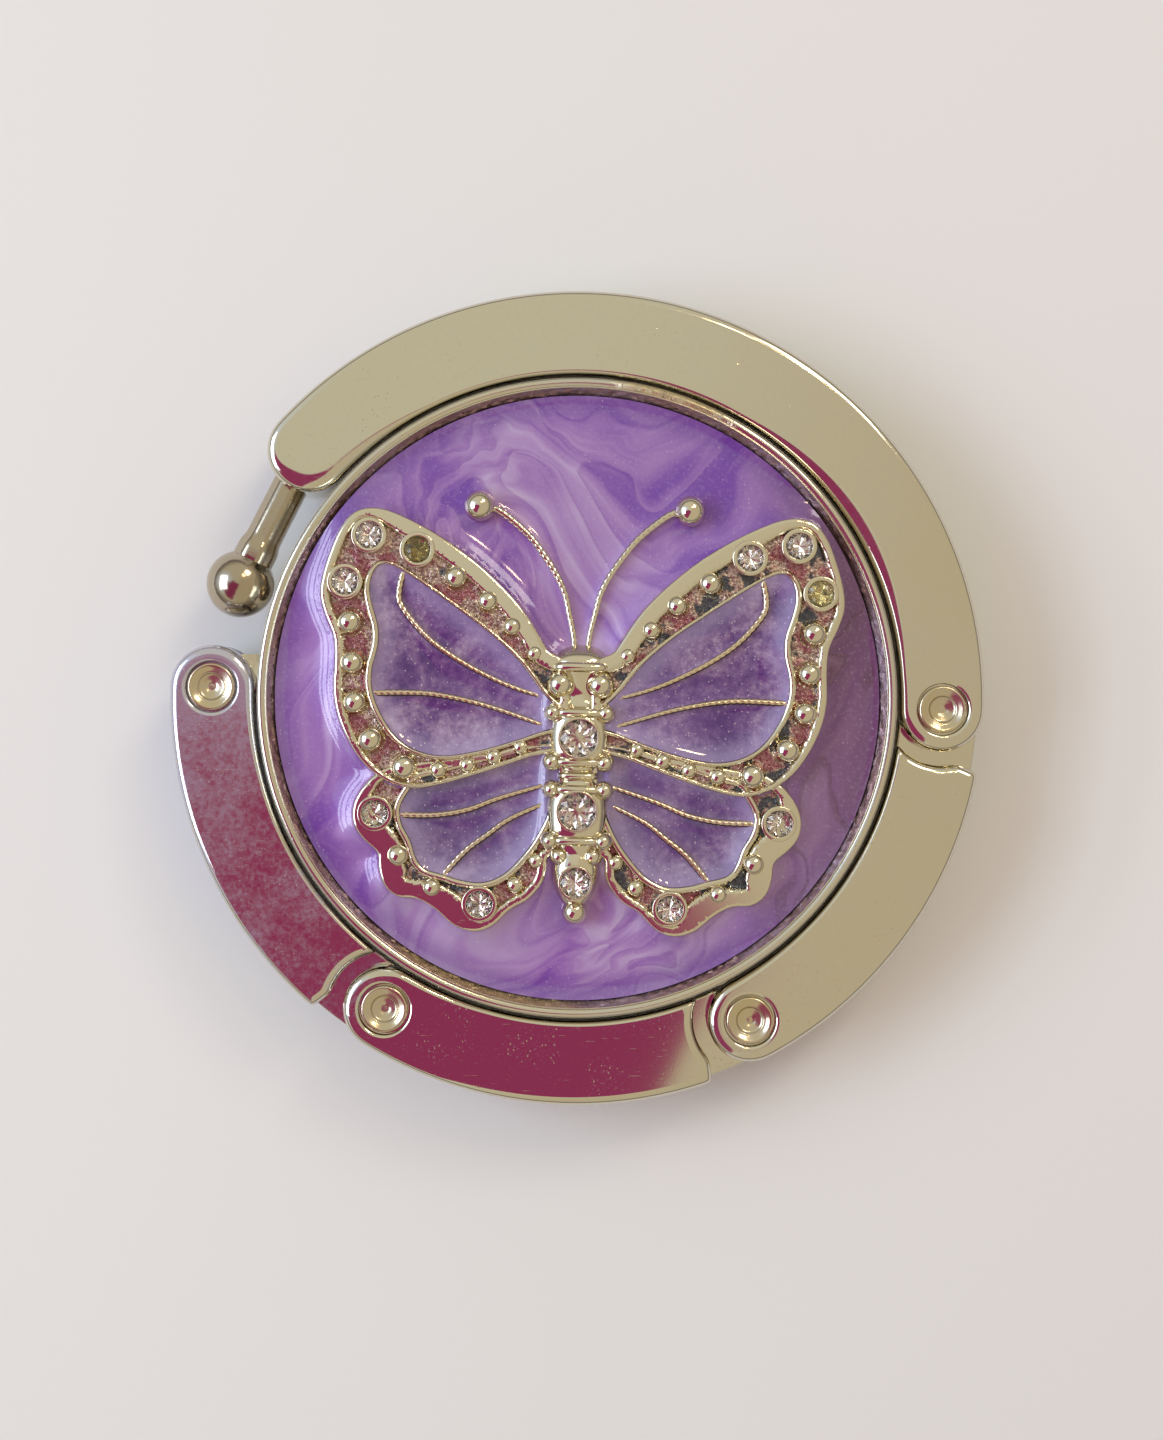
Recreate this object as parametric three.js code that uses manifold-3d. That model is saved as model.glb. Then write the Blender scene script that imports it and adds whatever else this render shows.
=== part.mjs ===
// A folding purse hook, closed. A round medallion with a butterfly lies on the table on a rubber pad,
// and a chain of three short links and one long hook arm wraps it, ready to open into a hook.
// Millimetres, +Z up. The origin is the centre of the pad's underside.
import * as THREE from 'three';
import { mergeVertices } from 'three/addons/utils/BufferGeometryUtils.js';
import Module from 'manifold-3d';

const wasm = await Module();
wasm.setup();

// Driving dimensions: the disc
const discRadius = 17.72;
const padRadius = 15;
const padThickness = 1.3;
const padStandout = 0.7;
const padEdge = 0.25;
const padGap = 0.12;
const cupFloor = 0.8;
const cupWall = 2.1;
const cupEdge = 0.9;
const rimWall = 0.24;
const trayFloor = 0.35;
const trayGap = 0.06;
const lipWidth = 0.2;
const lipRun = 0.2;
const lipRise = 0.5;
const enamelThickness = 0.4;
const enamelGap = 0.08;

// The swivel that lets the chain hang at right angles to the disc
const stemRadius = 0.85;
const stemGap = 0.08;
const boreFloor = 0.62;
const boreRoof = 0.48;
const bossWidth = 5.2;
const bossDepth = 1.5;
const washerGap = 0.1;
const washerThickness = 0.5;
const stemHeadSpread = 0.35;
const stemHeadThickness = 0.5;
const endPlay = 0.06;
const lugHalfWidth = 1.9;
const lugGap = 0.16;

// The chain round the disc
const ringGap = 0.25;
const ringWidth = 4.68;
const ringThickness = 4.4;
const edgeBevel = 0.5;
const tongueThickness = 1.5;
const tongueInset = 0.16;
const tongueRoot = 5.5;
const forkGap = 0.08;
const slotGap = 0.25;
const shoulderGap = 0.8;
const openGap = 0.1;
const rivetRadius = 0.82;
const rivetGap = 0.08;
const rivetHeadRadius = 1.26;
const rivetHeadThickness = 0.5;
const rivetEdge = 0.1;
const dimpleRadius = 0.75;
const dimpleDepth = 0.34;
const counterboreGap = 0.16;
const pinRadius = 1.06;
const pinInset = 0.21;
const pinShankRadius = 0.6;
const pinShankLength = 2.4;
const pinSeatDepth = 0.3;
const pinSeatGap = 0.1;
const ballRadius = 1.9;

// The butterfly
const wingMargin = 2.4;
const butterflyShift = 0.17;
const borderWidth = 0.36;
const leadingBand = 0.62;
const upperWingHeight = 1.25;
const lowerWingHeight = 0.98;
const channelDepth = 0.42;
const cellFloor = 0.4;
const fillThickness = 0.42;
const fillGap = 0.1;
const veinRadius = 0.2;
const veinLift = 0.02;
const antennaRadius = 0.23;
const antennaBallRadius = 0.84;
const bodyHeight = 1.75;
const bodyHalfWidth = 1.5;
const stoneRadius = 0.76;
const backStoneRadius = 1.06;
const tailStoneRadius = 0.84;
const bezelWall = 0.18;
const bezelRise = 0.14;
const stoneGap = 0.05;

// One overrun for every cut, and the distance within which two vertices are one
const overrun = 1;
const weld = 0.0001;

// Angles, in degrees
const ringTurn = 178.2;
const linkSpan = 60;
const hookSpan = 139;
const openingLimit = 112;
const ballSweep = 24;
const pinSweep = 16.6;
const butterflyTurn = -1.5;

// Counts of facets
const roundSides = 60;
const boreSides = 16;
const endSides = 24;
const edgeSteps = 32;
const cellSteps = 20;
const beadSides = 8;
const wireSides = 5;
const bezelSides = 8;
const bodySides = 12;

// Heights, worked out from the table up
const cavityFloorZ = padThickness + cupFloor;
const boreRadius = stemRadius + stemGap;
const swivelZ = cavityFloorZ + boreFloor + boreRadius;
const seatZ = swivelZ + boreRadius + boreRoof;
const trayTopZ = seatZ + trayFloor;
const enamelTopZ = trayTopZ + enamelThickness;
const rimTopZ = enamelTopZ + lipRise;
const ringBottomZ = swivelZ - ringThickness / 2;
const ringTopZ = swivelZ + ringThickness / 2;
const tongueBottomZ = swivelZ - tongueThickness / 2;
const tongueTopZ = swivelZ + tongueThickness / 2;
const slotBottomZ = tongueBottomZ - forkGap;
const slotTopZ = tongueTopZ + forkGap;

// Radii, worked out from the disc outwards and inwards
const ringInnerRadius = discRadius + ringGap;
const ringOuterRadius = ringInnerRadius + ringWidth;
const pitchRadius = (ringInnerRadius + ringOuterRadius) / 2;
const endRadius = ringWidth / 2;
const tongueRadius = endRadius - tongueInset;
const rimInnerRadius = gimbalRadius(rimTopZ) - rimWall;
const trayRadius = rimInnerRadius - trayGap;
const lipInnerRadius = trayRadius - lipWidth;
const fieldRadius = lipInnerRadius - lipRun;
const cavityRadius = discRadius - cupWall;
const bossFaceRadius = cavityRadius - bossDepth;
const wingReach = fieldRadius - wingMargin;
const pinPitchRadius = pitchRadius - pinInset;
const washerRadius = boreRadius + Math.min(boreFloor, boreRoof) - washerGap;

// The chain turns round the disc like a gimbal, so the disc's side follows a sphere
// whose centre lies on the swivel's axis.
function gimbalRadius(z) {
  return Math.sqrt(discRadius ** 2 - (z - swivelZ) ** 2);
}

const radians = (degrees) => THREE.MathUtils.degToRad(degrees);

// A point in the plan, at a radius and an angle
function polar(radius, degrees) {
  return new THREE.Vector2(radius, 0).rotateAround(new THREE.Vector2(), radians(degrees));
}

// A closed geometry as a solid that can be joined and cut
function solidOf(geometry) {
  const bare = new THREE.BufferGeometry();
  bare.setAttribute('position', geometry.getAttribute('position').clone());
  if (geometry.index) bare.setIndex(geometry.index.clone());
  const welded = mergeVertices(bare, weld);
  const corners = [];
  for (let i = 0; i < welded.index.count; i += 3) {
    const [a, b, c] = [0, 1, 2].map((k) => welded.index.getX(i + k));
    if (a !== b && b !== c && c !== a) corners.push(a, b, c);
  }
  const vertProperties = new Float32Array(welded.getAttribute('position').array);
  const triVerts = new Uint32Array(corners);
  return new wasm.Manifold(new wasm.Mesh({ numProp: 3, vertProperties, triVerts }));
}

function geometryOf(solid) {
  const mesh = solid.getMesh();
  const geometry = new THREE.BufferGeometry();
  geometry.setAttribute('position', new THREE.BufferAttribute(new Float32Array(mesh.vertProperties), 3));
  geometry.setIndex(new THREE.BufferAttribute(new Uint32Array(mesh.triVerts), 1));
  geometry.computeVertexNormals();
  return geometry;
}

const joined = (solids) => solids.reduce((whole, next) => whole.add(next));
const cut = (solid, cutters) => cutters.reduce((rest, next) => rest.subtract(next), solid);

// A profile of [radius, height] pairs turned about the Z axis
function revolve(profile, sides) {
  const points = profile.map(([radius, height]) => new THREE.Vector2(radius, height));
  return new THREE.LatheGeometry(points, sides).rotateX(radians(90));
}

// A flat outline drawn up between two heights
function prism(points, bottom, top) {
  const shape = new THREE.Shape(points);
  const geometry = new THREE.ExtrudeGeometry(shape, { depth: top - bottom, bevelEnabled: false });
  return geometry.translate(0, 0, bottom);
}

// An upright round rod about a point of the plan
function rod(centre, radius, bottom, top, sides) {
  const profile = [[0, bottom], [radius, bottom], [radius, top], [0, top]];
  return solidOf(revolve(profile, sides).translate(centre.x, centre.y, 0));
}

// A rod that lies in the swivel's plane, from one distance along a direction to another
function flatRod(start, degrees, radius, from, to, sides) {
  const profile = [[0, from], [radius, from], [radius, to], [0, to]];
  const geometry = revolve(profile, sides).rotateY(radians(90)).rotateZ(radians(degrees));
  return solidOf(geometry.translate(start.x, start.y, swivelZ));
}

// A rectangle in the plan with one corner at a point, as deep along one direction
// as it is long along the other
function corner(point, alongDegrees, depth, sideDegrees, reach, bottom, top) {
  const along = polar(depth, alongDegrees);
  const side = polar(reach, sideDegrees);
  const far = point.clone().add(along);
  return solidOf(prism([point, far, far.clone().add(side), point.clone().add(side)], bottom, top));
}

function meshOf(name, geometry, look) {
  const mesh = new THREE.Mesh(geometry, new THREE.MeshStandardMaterial(look));
  mesh.name = name;
  return mesh;
}

const nickel = { color: 0xc9c2a4, roughness: 0.18, metalness: 1 };
const dullNickel = { color: 0xa8a18a, roughness: 0.35, metalness: 1 };
const pearlPurple = { color: 0x8f74b4, roughness: 0.22, metalness: 0.1 };
const deepPurple = { color: 0x5b3a86, roughness: 0.2, metalness: 0.1 };
const crystal = { color: 0xe6e2dc, roughness: 0.05, metalness: 0 };
const blackRubber = { color: 0x1c1c1e, roughness: 0.8, metalness: 0 };

// Rubber pad: a soft disc in a recess under the cup, proud of it, that grips the table.
function rubberPad() {
  const profile = [
    [0, 0], [padRadius - padEdge, 0], [padRadius, padEdge], [padRadius, padThickness], [0, padThickness],
  ];
  return meshOf('rubber_pad', revolve(profile, roundSides), blackRubber);
}

// Base drum: a cast cup with a rim that holds the medallion and a boss for the swivel.
function baseDrum() {
  const sideHeights = [padStandout + cupEdge, ringBottomZ + edgeBevel, ringTopZ - edgeBevel, rimTopZ];
  const profile = [
    [0, padThickness],
    [padRadius + padGap, padThickness],
    [padRadius + padGap, padStandout],
    [gimbalRadius(padStandout) - cupEdge, padStandout],
    ...sideHeights.map((z) => [gimbalRadius(z), z]),
    [rimInnerRadius, rimTopZ],
    [rimInnerRadius, seatZ],
    [cavityRadius, seatZ],
    [cavityRadius, cavityFloorZ],
    [0, cavityFloorZ],
  ];
  const cup = solidOf(revolve(profile, roundSides));
  const bossFace = polar(bossFaceRadius, ringTurn).add(polar(bossWidth / 2, ringTurn - 90));
  const bossReach = bossDepth + cupWall / 2;
  const bossBottom = padThickness + cupFloor / 2;
  const bossTop = seatZ - boreRoof / 2;
  const boss = corner(bossFace, ringTurn, bossReach, ringTurn + 90, bossWidth, bossBottom, bossTop);
  const boreFrom = bossFaceRadius - overrun;
  const bore = flatRod(new THREE.Vector2(), ringTurn, boreRadius, boreFrom, discRadius + overrun, boreSides);
  return meshOf('base_drum', geometryOf(cup.add(boss).subtract(bore)), nickel);
}

// Medallion tray: a shallow cast dish that drops into the drum's rim and holds the enamel.
function medallionTray() {
  const profile = [
    [0, seatZ],
    [trayRadius, seatZ],
    [trayRadius, rimTopZ],
    [lipInnerRadius, rimTopZ],
    [fieldRadius, enamelTopZ],
    [fieldRadius, trayTopZ],
    [0, trayTopZ],
  ];
  return meshOf('medallion_tray', revolve(profile, roundSides), nickel);
}

// Enamel field: the marbled pearl enamel that fills the tray round the butterfly.
function enamelField() {
  const radius = fieldRadius - enamelGap;
  const profile = [[0, trayTopZ], [radius, trayTopZ], [radius, enamelTopZ], [0, enamelTopZ]];
  return meshOf('enamel_field', revolve(profile, roundSides), pearlPurple);
}

// Swivel lug: a flat eye that carries the chain, on a round stem through the drum's wall.
function swivelLug() {
  const pivot = polar(pitchRadius, ringTurn);
  const neckRadius = discRadius + lugGap;
  const neckCorner = pivot.clone().add(polar(lugHalfWidth, ringTurn - 90));
  const neckReach = pitchRadius - neckRadius;
  const neck = corner(
    neckCorner, ringTurn + 180, neckReach, ringTurn + 90, lugHalfWidth * 2, tongueBottomZ, tongueTopZ,
  );
  const eye = rod(pivot, lugHalfWidth, tongueBottomZ, tongueTopZ, endSides);
  const washerFace = bossFaceRadius - endPlay - washerThickness;
  const headFace = washerFace - endPlay;
  const stemEnd = (neckRadius + ringInnerRadius) / 2;
  const stem = flatRod(new THREE.Vector2(), ringTurn, stemRadius, headFace, stemEnd, boreSides);
  const headBack = headFace - stemHeadThickness;
  const headRadius = stemRadius + stemHeadSpread;
  const head = flatRod(new THREE.Vector2(), ringTurn, headRadius, headBack, headFace, boreSides);
  const hole = rod(pivot, rivetRadius + rivetGap, tongueBottomZ - overrun, tongueTopZ + overrun, boreSides);
  return meshOf('swivel_lug', geometryOf(joined([neck, eye, stem, head]).subtract(hole)), nickel);
}

// Swivel washer: a loose ring on the stem, between the boss and the stem's spread head.
function swivelWasher() {
  const inner = stemRadius + stemGap;
  const profile = [
    [inner, 0], [washerRadius, 0], [washerRadius, washerThickness], [inner, washerThickness], [inner, 0],
  ];
  const washer = meshOf('swivel_washer', revolve(profile, boreSides).rotateY(radians(90)), dullNickel);
  const place = polar(bossFaceRadius - endPlay - washerThickness, ringTurn);
  washer.position.set(place.x, place.y, swivelZ);
  washer.rotation.z = radians(ringTurn);
  return washer;
}

// The chain's section, turned into a whole ring: a square bar with bevelled edges
function ringBar(inner, outer, bottom, top, bevel) {
  const profile = [
    [inner + bevel, bottom], [outer - bevel, bottom], [outer, bottom + bevel], [outer, top - bevel],
    [outer - bevel, top], [inner + bevel, top], [inner, top - bevel], [inner, bottom + bevel],
    [inner + bevel, bottom],
  ];
  return solidOf(revolve(profile, roundSides));
}

// The part of the plan between two angles less than half a turn apart
function wedge(from, to) {
  const reach = ringOuterRadius * 2;
  const middle = (from + to) / 2;
  const points = [new THREE.Vector2(), polar(reach, from), polar(reach, middle), polar(reach, to)];
  return solidOf(prism(points, ringBottomZ - overrun, ringTopZ + overrun));
}

// The round end of a link, bevelled like the bar that it ends
function roundEnd(degrees) {
  const profile = [
    [0, ringBottomZ], [endRadius - edgeBevel, ringBottomZ], [endRadius, ringBottomZ + edgeBevel],
    [endRadius, ringTopZ - edgeBevel], [endRadius - edgeBevel, ringTopZ], [0, ringTopZ],
  ];
  const place = polar(pitchRadius, degrees);
  return solidOf(revolve(profile, endSides).rotateZ(radians(degrees)).translate(place.x, place.y, 0));
}

// A bar of the chain from its fork, at angle 0, to the middle of its far end
function barSolid(span) {
  const bar = ringBar(ringInnerRadius, ringOuterRadius, ringBottomZ, ringTopZ, edgeBevel);
  return bar.intersect(wedge(0, span)).add(roundEnd(0));
}

// The slot of a fork, its rivet hole and its two counterbores. The slot's outer side is cut back
// so that the fork can open past the tongue that it holds, and its inner side clears the lug.
function forkCutters() {
  const pivot = polar(pitchRadius, 0);
  const slot = rod(pivot, endRadius + slotGap, slotBottomZ, slotTopZ, endSides);
  const depth = tongueRadius + openGap;
  const relief = corner(pivot, openingLimit, depth, openingLimit - 90, ringWidth, slotBottomZ, slotTopZ);
  const lugRoom = corner(pivot, 90, lugHalfWidth + slotGap, 180, ringWidth, slotBottomZ, slotTopZ);
  const hole = rod(pivot, rivetRadius + rivetGap, ringBottomZ - overrun, ringTopZ + overrun, boreSides);
  const sinkRadius = rivetHeadRadius + counterboreGap;
  const lowSink = rod(pivot, sinkRadius, ringBottomZ - overrun, ringBottomZ + rivetHeadThickness, boreSides);
  const highSink = rod(pivot, sinkRadius, ringTopZ - rivetHeadThickness, ringTopZ + overrun, boreSides);
  return [slot, relief, lugRoom, hole, lowSink, highSink];
}

// The hollowed shoulder that a neighbour's round end turns in, flared by the bevel,
// with a flat stop on its outer side
function shoulderCutters(span) {
  const pivot = polar(pitchRadius, span);
  const radius = endRadius + shoulderGap;
  const flare = edgeBevel / 2;
  const profile = [
    [0, ringBottomZ - flare], [radius + flare * 2, ringBottomZ - flare], [radius, ringBottomZ + flare],
    [radius, ringTopZ - flare], [radius + flare * 2, ringTopZ + flare], [0, ringTopZ + flare],
  ];
  const hollow = solidOf(revolve(profile, endSides).rotateZ(radians(span)).translate(pivot.x, pivot.y, 0));
  const stopAngle = span - openingLimit;
  const depth = endRadius + openGap;
  const stopBottom = ringBottomZ - overrun;
  const stop = corner(pivot, stopAngle, depth, stopAngle + 90, ringWidth, stopBottom, ringTopZ + overrun);
  return [hollow, stop];
}

// The tongue: the middle third of the bar, carried on round the next rivet
function tongueSolid(span) {
  const inner = ringInnerRadius + tongueInset;
  const outer = ringOuterRadius - tongueInset;
  const rootAngle = THREE.MathUtils.radToDeg(tongueRoot / pitchRadius);
  const strip = ringBar(inner, outer, tongueBottomZ, tongueTopZ, 0).intersect(wedge(span - rootAngle, span));
  const pivot = polar(pitchRadius, span);
  const eye = rod(pivot, tongueRadius, tongueBottomZ, tongueTopZ, endSides);
  const hole = rod(pivot, rivetRadius + rivetGap, tongueBottomZ - overrun, tongueTopZ + overrun, boreSides);
  return { solid: strip.add(eye), hole };
}

// Short link: a cast bar with a fork at one end and a tongue at the other.
function linkGeometry() {
  const body = cut(cut(barSolid(linkSpan), shoulderCutters(linkSpan)), forkCutters());
  const tongue = tongueSolid(linkSpan);
  return geometryOf(body.add(tongue.solid).subtract(tongue.hole));
}

function chainLinks() {
  const geometry = linkGeometry();
  return ['link_1', 'link_2', 'link_3'].map((name, index) => {
    const link = meshOf(name, geometry, nickel);
    link.rotation.z = radians(ringTurn + index * linkSpan);
    return link;
  });
}

// Where the pin stands on the hook arm's round end: its line runs through the ball's centre,
// and its seat is a flat cut into the round end, square to that line.
function pinLine() {
  const ball = polar(pinPitchRadius, hookSpan + ballSweep);
  const root = polar(pinPitchRadius, hookSpan + ballSweep - pinSweep);
  const direction = ball.clone().sub(root).normalize();
  const end = polar(pitchRadius, hookSpan);
  const along = end.clone().sub(ball).dot(direction);
  const foot = ball.clone().addScaledVector(direction, along);
  const rise = Math.sqrt(endRadius ** 2 - foot.distanceToSquared(end)) - pinSeatDepth;
  const seat = foot.clone().addScaledVector(direction, rise);
  return { seat, degrees: THREE.MathUtils.radToDeg(direction.angle()), length: seat.distanceTo(ball) };
}

// Hook arm: the long link. It has a fork at one end and a blunt round end with a socket for the pin.
function hookArm() {
  const { seat, degrees } = pinLine();
  const flat = flatRod(seat, degrees, pinRadius + pinSeatGap, 0, endRadius, boreSides);
  const socketDepth = pinShankLength + pinSeatGap;
  const socket = flatRod(seat, degrees, pinShankRadius + pinSeatGap, -socketDepth, overrun, boreSides);
  const body = cut(barSolid(hookSpan).add(roundEnd(hookSpan)), [...forkCutters(), flat, socket]);
  const arm = meshOf('hook_arm', geometryOf(body), nickel);
  arm.rotation.z = radians(ringTurn + 3 * linkSpan);
  return arm;
}

// Ball pin: a turned pin with a ball end, pressed into the hook arm's end.
// The ball keeps straps from slipping off the hook.
function ballPin() {
  const { seat, degrees, length } = pinLine();
  const neckAngle = Math.asin(pinRadius / ballRadius);
  const steps = boreSides / 2;
  const ballProfile = Array.from({ length: steps + 1 }, (_, step) => {
    const angle = neckAngle + (Math.PI - neckAngle) * step / steps;
    return [ballRadius * Math.sin(angle), length - ballRadius * Math.cos(angle)];
  });
  ballProfile[steps][0] = 0;
  const profile = [
    [0, -pinShankLength], [pinShankRadius, -pinShankLength], [pinShankRadius, pinSeatGap],
    [pinRadius, pinSeatGap], ...ballProfile,
  ];
  const geometry = revolve(profile, boreSides).rotateY(radians(90)).rotateZ(radians(degrees));
  const pin = meshOf('ball_pin', geometry.translate(seat.x, seat.y, swivelZ), nickel);
  pin.rotation.z = radians(ringTurn + 3 * linkSpan);
  return pin;
}

// Rivets: each turns with the fork that it is spread in. Both heads lie in counterbores,
// and the upper head has the dimple of the spinning tool.
function rivets() {
  const head = rivetHeadRadius;
  const profile = [
    [0, ringBottomZ],
    [head - rivetEdge, ringBottomZ],
    [head, ringBottomZ + rivetEdge],
    [head, ringBottomZ + rivetHeadThickness],
    [rivetRadius, ringBottomZ + rivetHeadThickness],
    [rivetRadius, ringTopZ - rivetHeadThickness],
    [head, ringTopZ - rivetHeadThickness],
    [head, ringTopZ - rivetEdge],
    [head - rivetEdge, ringTopZ],
    [dimpleRadius, ringTopZ],
    [0, ringTopZ - dimpleDepth],
  ];
  const geometry = revolve(profile, boreSides);
  return [0, 1, 2, 3].map((index) => {
    const rivet = meshOf(`rivet_${index + 1}`, geometry, dullNickel);
    const place = polar(pitchRadius, ringTurn + index * linkSpan);
    rivet.position.set(place.x, place.y, 0);
    rivet.rotation.z = radians(ringTurn + index * linkSpan);
    return rivet;
  });
}

// The wings' outlines, in shares of the wing's reach from the butterfly's middle. A curve runs
// through the edge's points, and straight lines close it through the root's points, in the body.
const upperWing = {
  edgeShares: [
    [0.125, 0.174], [0.233, 0.34], [0.382, 0.486], [0.535, 0.594], [0.681, 0.67], [0.785, 0.703],
    [0.868, 0.691], [0.924, 0.632], [0.965, 0.535], [0.993, 0.438], [0.999, 0.361], [0.976, 0.285],
    [0.944, 0.208], [0.938, 0.118], [0.941, 0.014], [0.924, -0.083], [0.882, -0.181], [0.819, -0.271],
    [0.729, -0.337], [0.625, -0.362], [0.507, -0.34], [0.333, -0.285], [0.181, -0.229],
  ],
  edgeRootShares: [[0.042, -0.201], [0.042, 0.139]],
  cellShares: [
    [0.142, 0.014], [0.236, 0.132], [0.347, 0.233], [0.486, 0.333], [0.625, 0.427], [0.722, 0.483],
    [0.774, 0.487], [0.802, 0.448], [0.811, 0.396], [0.799, 0.333], [0.774, 0.25], [0.774, 0.174],
    [0.793, 0.097], [0.792, 0.014], [0.76, -0.073], [0.701, -0.16], [0.625, -0.212], [0.521, -0.233],
    [0.389, -0.212], [0.25, -0.17], [0.146, -0.132],
  ],
  cellRootShares: [],
  veinShares: [
    [
      [0.682, 0.476], [0.7, 0.39], [0.688, 0.33], [0.608, 0.233], [0.514, 0.16],
      [0.389, 0.09], [0.25, 0.031], [0.055, -0.024],
    ],
    [[0.8, -0.003], [0.681, 0.002], [0.569, 0], [0.451, -0.018], [0.312, -0.052], [0.055, -0.136]],
  ],
  height: upperWingHeight,
};
const lowerWing = {
  edgeShares: [
    [0.111, -0.611], [0.118, -0.694], [0.174, -0.771], [0.247, -0.816], [0.306, -0.875], [0.375, -0.903],
    [0.458, -0.882], [0.535, -0.819], [0.604, -0.783], [0.674, -0.778], [0.729, -0.736], [0.752, -0.667],
    [0.757, -0.611], [0.812, -0.562], [0.851, -0.507], [0.856, -0.438], [0.83, -0.375], [0.785, -0.319],
  ],
  edgeRootShares: [[0.722, -0.278], [0.153, -0.184], [0.042, -0.167], [0.042, -0.583]],
  cellShares: [
    [0.139, -0.438], [0.16, -0.528], [0.208, -0.611], [0.271, -0.677], [0.347, -0.712], [0.431, -0.708],
    [0.507, -0.686], [0.576, -0.667], [0.611, -0.625], [0.632, -0.562], [0.667, -0.5], [0.677, -0.444],
    [0.66, -0.399], [0.635, -0.361],
  ],
  cellRootShares: [[0.625, -0.33], [0.514, -0.299], [0.347, -0.25], [0.16, -0.191], [0.139, -0.222]],
  veinShares: [
    [[0.69, -0.465], [0.542, -0.462], [0.417, -0.438], [0.292, -0.389], [0.04, -0.31]],
    [[0.506, -0.69], [0.424, -0.597], [0.34, -0.531], [0.243, -0.462], [0.04, -0.37]],
  ],
  height: lowerWingHeight,
};

// Beads along the wings' channels: place and radius, in shares of the reach
const upperBeadShares = [
  [0.485, 0.447, 0.046], [0.361, 0.36, 0.042], [0.265, 0.265, 0.038], [0.177, 0.165, 0.033],
  [0.885, 0.267, 0.049], [0.872, 0.113, 0.047], [0.858, -0.038, 0.047], [0.795, -0.179, 0.049],
  [0.664, -0.281, 0.05], [0.533, -0.287, 0.035], [0.422, -0.266, 0.033], [0.322, -0.233, 0.033],
  [0.222, -0.193, 0.031],
];
const lowerBeadShares = [
  [0.679, -0.618, 0.044], [0.547, -0.737, 0.038], [0.231, -0.72, 0.035], [0.151, -0.626, 0.033],
];
const beadSinkShare = 0.06;
const beadTallShare = 1.3;
const upperStoneShares = [[0.818, 0.597], [0.633, 0.547], [0.905, 0.418]];
const lowerStoneShares = [[0.77, -0.46], [0.363, -0.795]];
const backStoneShares = [[0, -0.154], [0, -0.431]];
const tailStoneShares = [0, -0.701];

// The body, from the tail to the crown: place along it in shares of the reach,
// and half width in shares of the body's own
const bodyShares = [
  [-0.85, 0.25], [-0.83, 0.5], [-0.77, 0.62], [-0.7, 0.8], [-0.6, 0.7], [-0.55, 0.95], [-0.43, 1.02],
  [-0.34, 1], [-0.285, 0.8], [-0.23, 1], [-0.154, 1.05], [-0.05, 1], [-0.01, 0.72], [0.03, 0.85],
  [0.09, 0.98], [0.15, 0.75], [0.185, 0.3],
];
const collarShares = [-0.05, -0.232, -0.342, -0.543];
const collarHalfShare = 0.02;
const collarBeadShare = 0.92;
const collarBeadRadiusShare = 0.34;
const eyeShares = [0.88, 0.056];
const eyeRadiusShare = 0.5;
const tailBallShare = -0.809;
const tailBallRadiusShare = 0.44;
const antennaShares = [
  [0.403, 0.724], [0.337, 0.715], [0.271, 0.67], [0.205, 0.611], [0.153, 0.545],
  [0.104, 0.472], [0.069, 0.399], [0.049, 0.319], [0.031, 0.236], [0.024, 0.153],
];

// A point of the butterfly's plan from its shares, on the right (1) or the left (-1)
const spot = ([across, along], side) => new THREE.Vector2(side * across * wingReach, along * wingReach);

// A closed outline: a curve through some points, then straight through others, anticlockwise
function outline(curveShares, rootShares, side, steps) {
  const curve = new THREE.SplineCurve(curveShares.map((share) => spot(share, side)));
  const points = [...curve.getPoints(steps), ...rootShares.map((share) => spot(share, side))];
  return THREE.ShapeUtils.isClockWise(points) ? points.reverse() : points;
}

// Nearer to the axis than this share of the reach, a wing is solid up to its border's top.
const rootShare = 0.128;

// At a sharp corner the inset point moves no further than this share allows.
const leastSpreadShare = 0.5;

// The outline moved inwards by a width that may depend on which way its edge faces
function inset(points, widthAt) {
  return points.map((point, index) => {
    const before = points[(index + points.length - 1) % points.length];
    const after = points[(index + 1) % points.length];
    const first = point.clone().sub(before).normalize();
    const second = after.clone().sub(point).normalize();
    const outward = new THREE.Vector2(first.y + second.y, -first.x - second.x).normalize();
    const spread = Math.max(outward.dot(new THREE.Vector2(first.y, -first.x)), leastSpreadShare);
    return point.clone().addScaledVector(outward, -widthAt(outward) / spread);
  });
}

// The border is a thin wall, but it widens to a broad band along the wing's leading edge.
function borderAt(side) {
  return (outward) => {
    const leading = Math.max(0, outward.y) * Math.max(0, -outward.x * side);
    return borderWidth + leadingBand * Math.min(1, leading * 2);
  };
}

// One wing: a plate with a thin border, a channel for beads and stones, and a sunk cell for enamel
function wingSolid(wing, side) {
  const edge = outline(wing.edgeShares, wing.edgeRootShares, side, edgeSteps);
  const cell = outline(wing.cellShares, wing.cellRootShares, side, cellSteps);
  const channelOuter = inset(edge, borderAt(side));
  const channelInner = inset(cell, () => -borderWidth);
  const top = enamelTopZ + wing.height;
  const channelFloor = top - channelDepth;
  const island = solidOf(prism(channelInner, channelFloor - overrun, top + overrun * 2));
  const rootCorner = new THREE.Vector2(-rootShare, -1).multiplyScalar(wingReach);
  const rootWidth = rootShare * wingReach * 2;
  const rootBottom = channelFloor - overrun;
  const root = corner(rootCorner, 0, rootWidth, 90, wingReach * 2, rootBottom, top + overrun * 2);
  const channel = cut(solidOf(prism(channelOuter, channelFloor, top + overrun)), [island, root]);
  const pocket = solidOf(prism(cell, enamelTopZ + cellFloor, top + overrun));
  return cut(solidOf(prism(edge, enamelTopZ, top)), [channel, pocket]);
}

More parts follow.
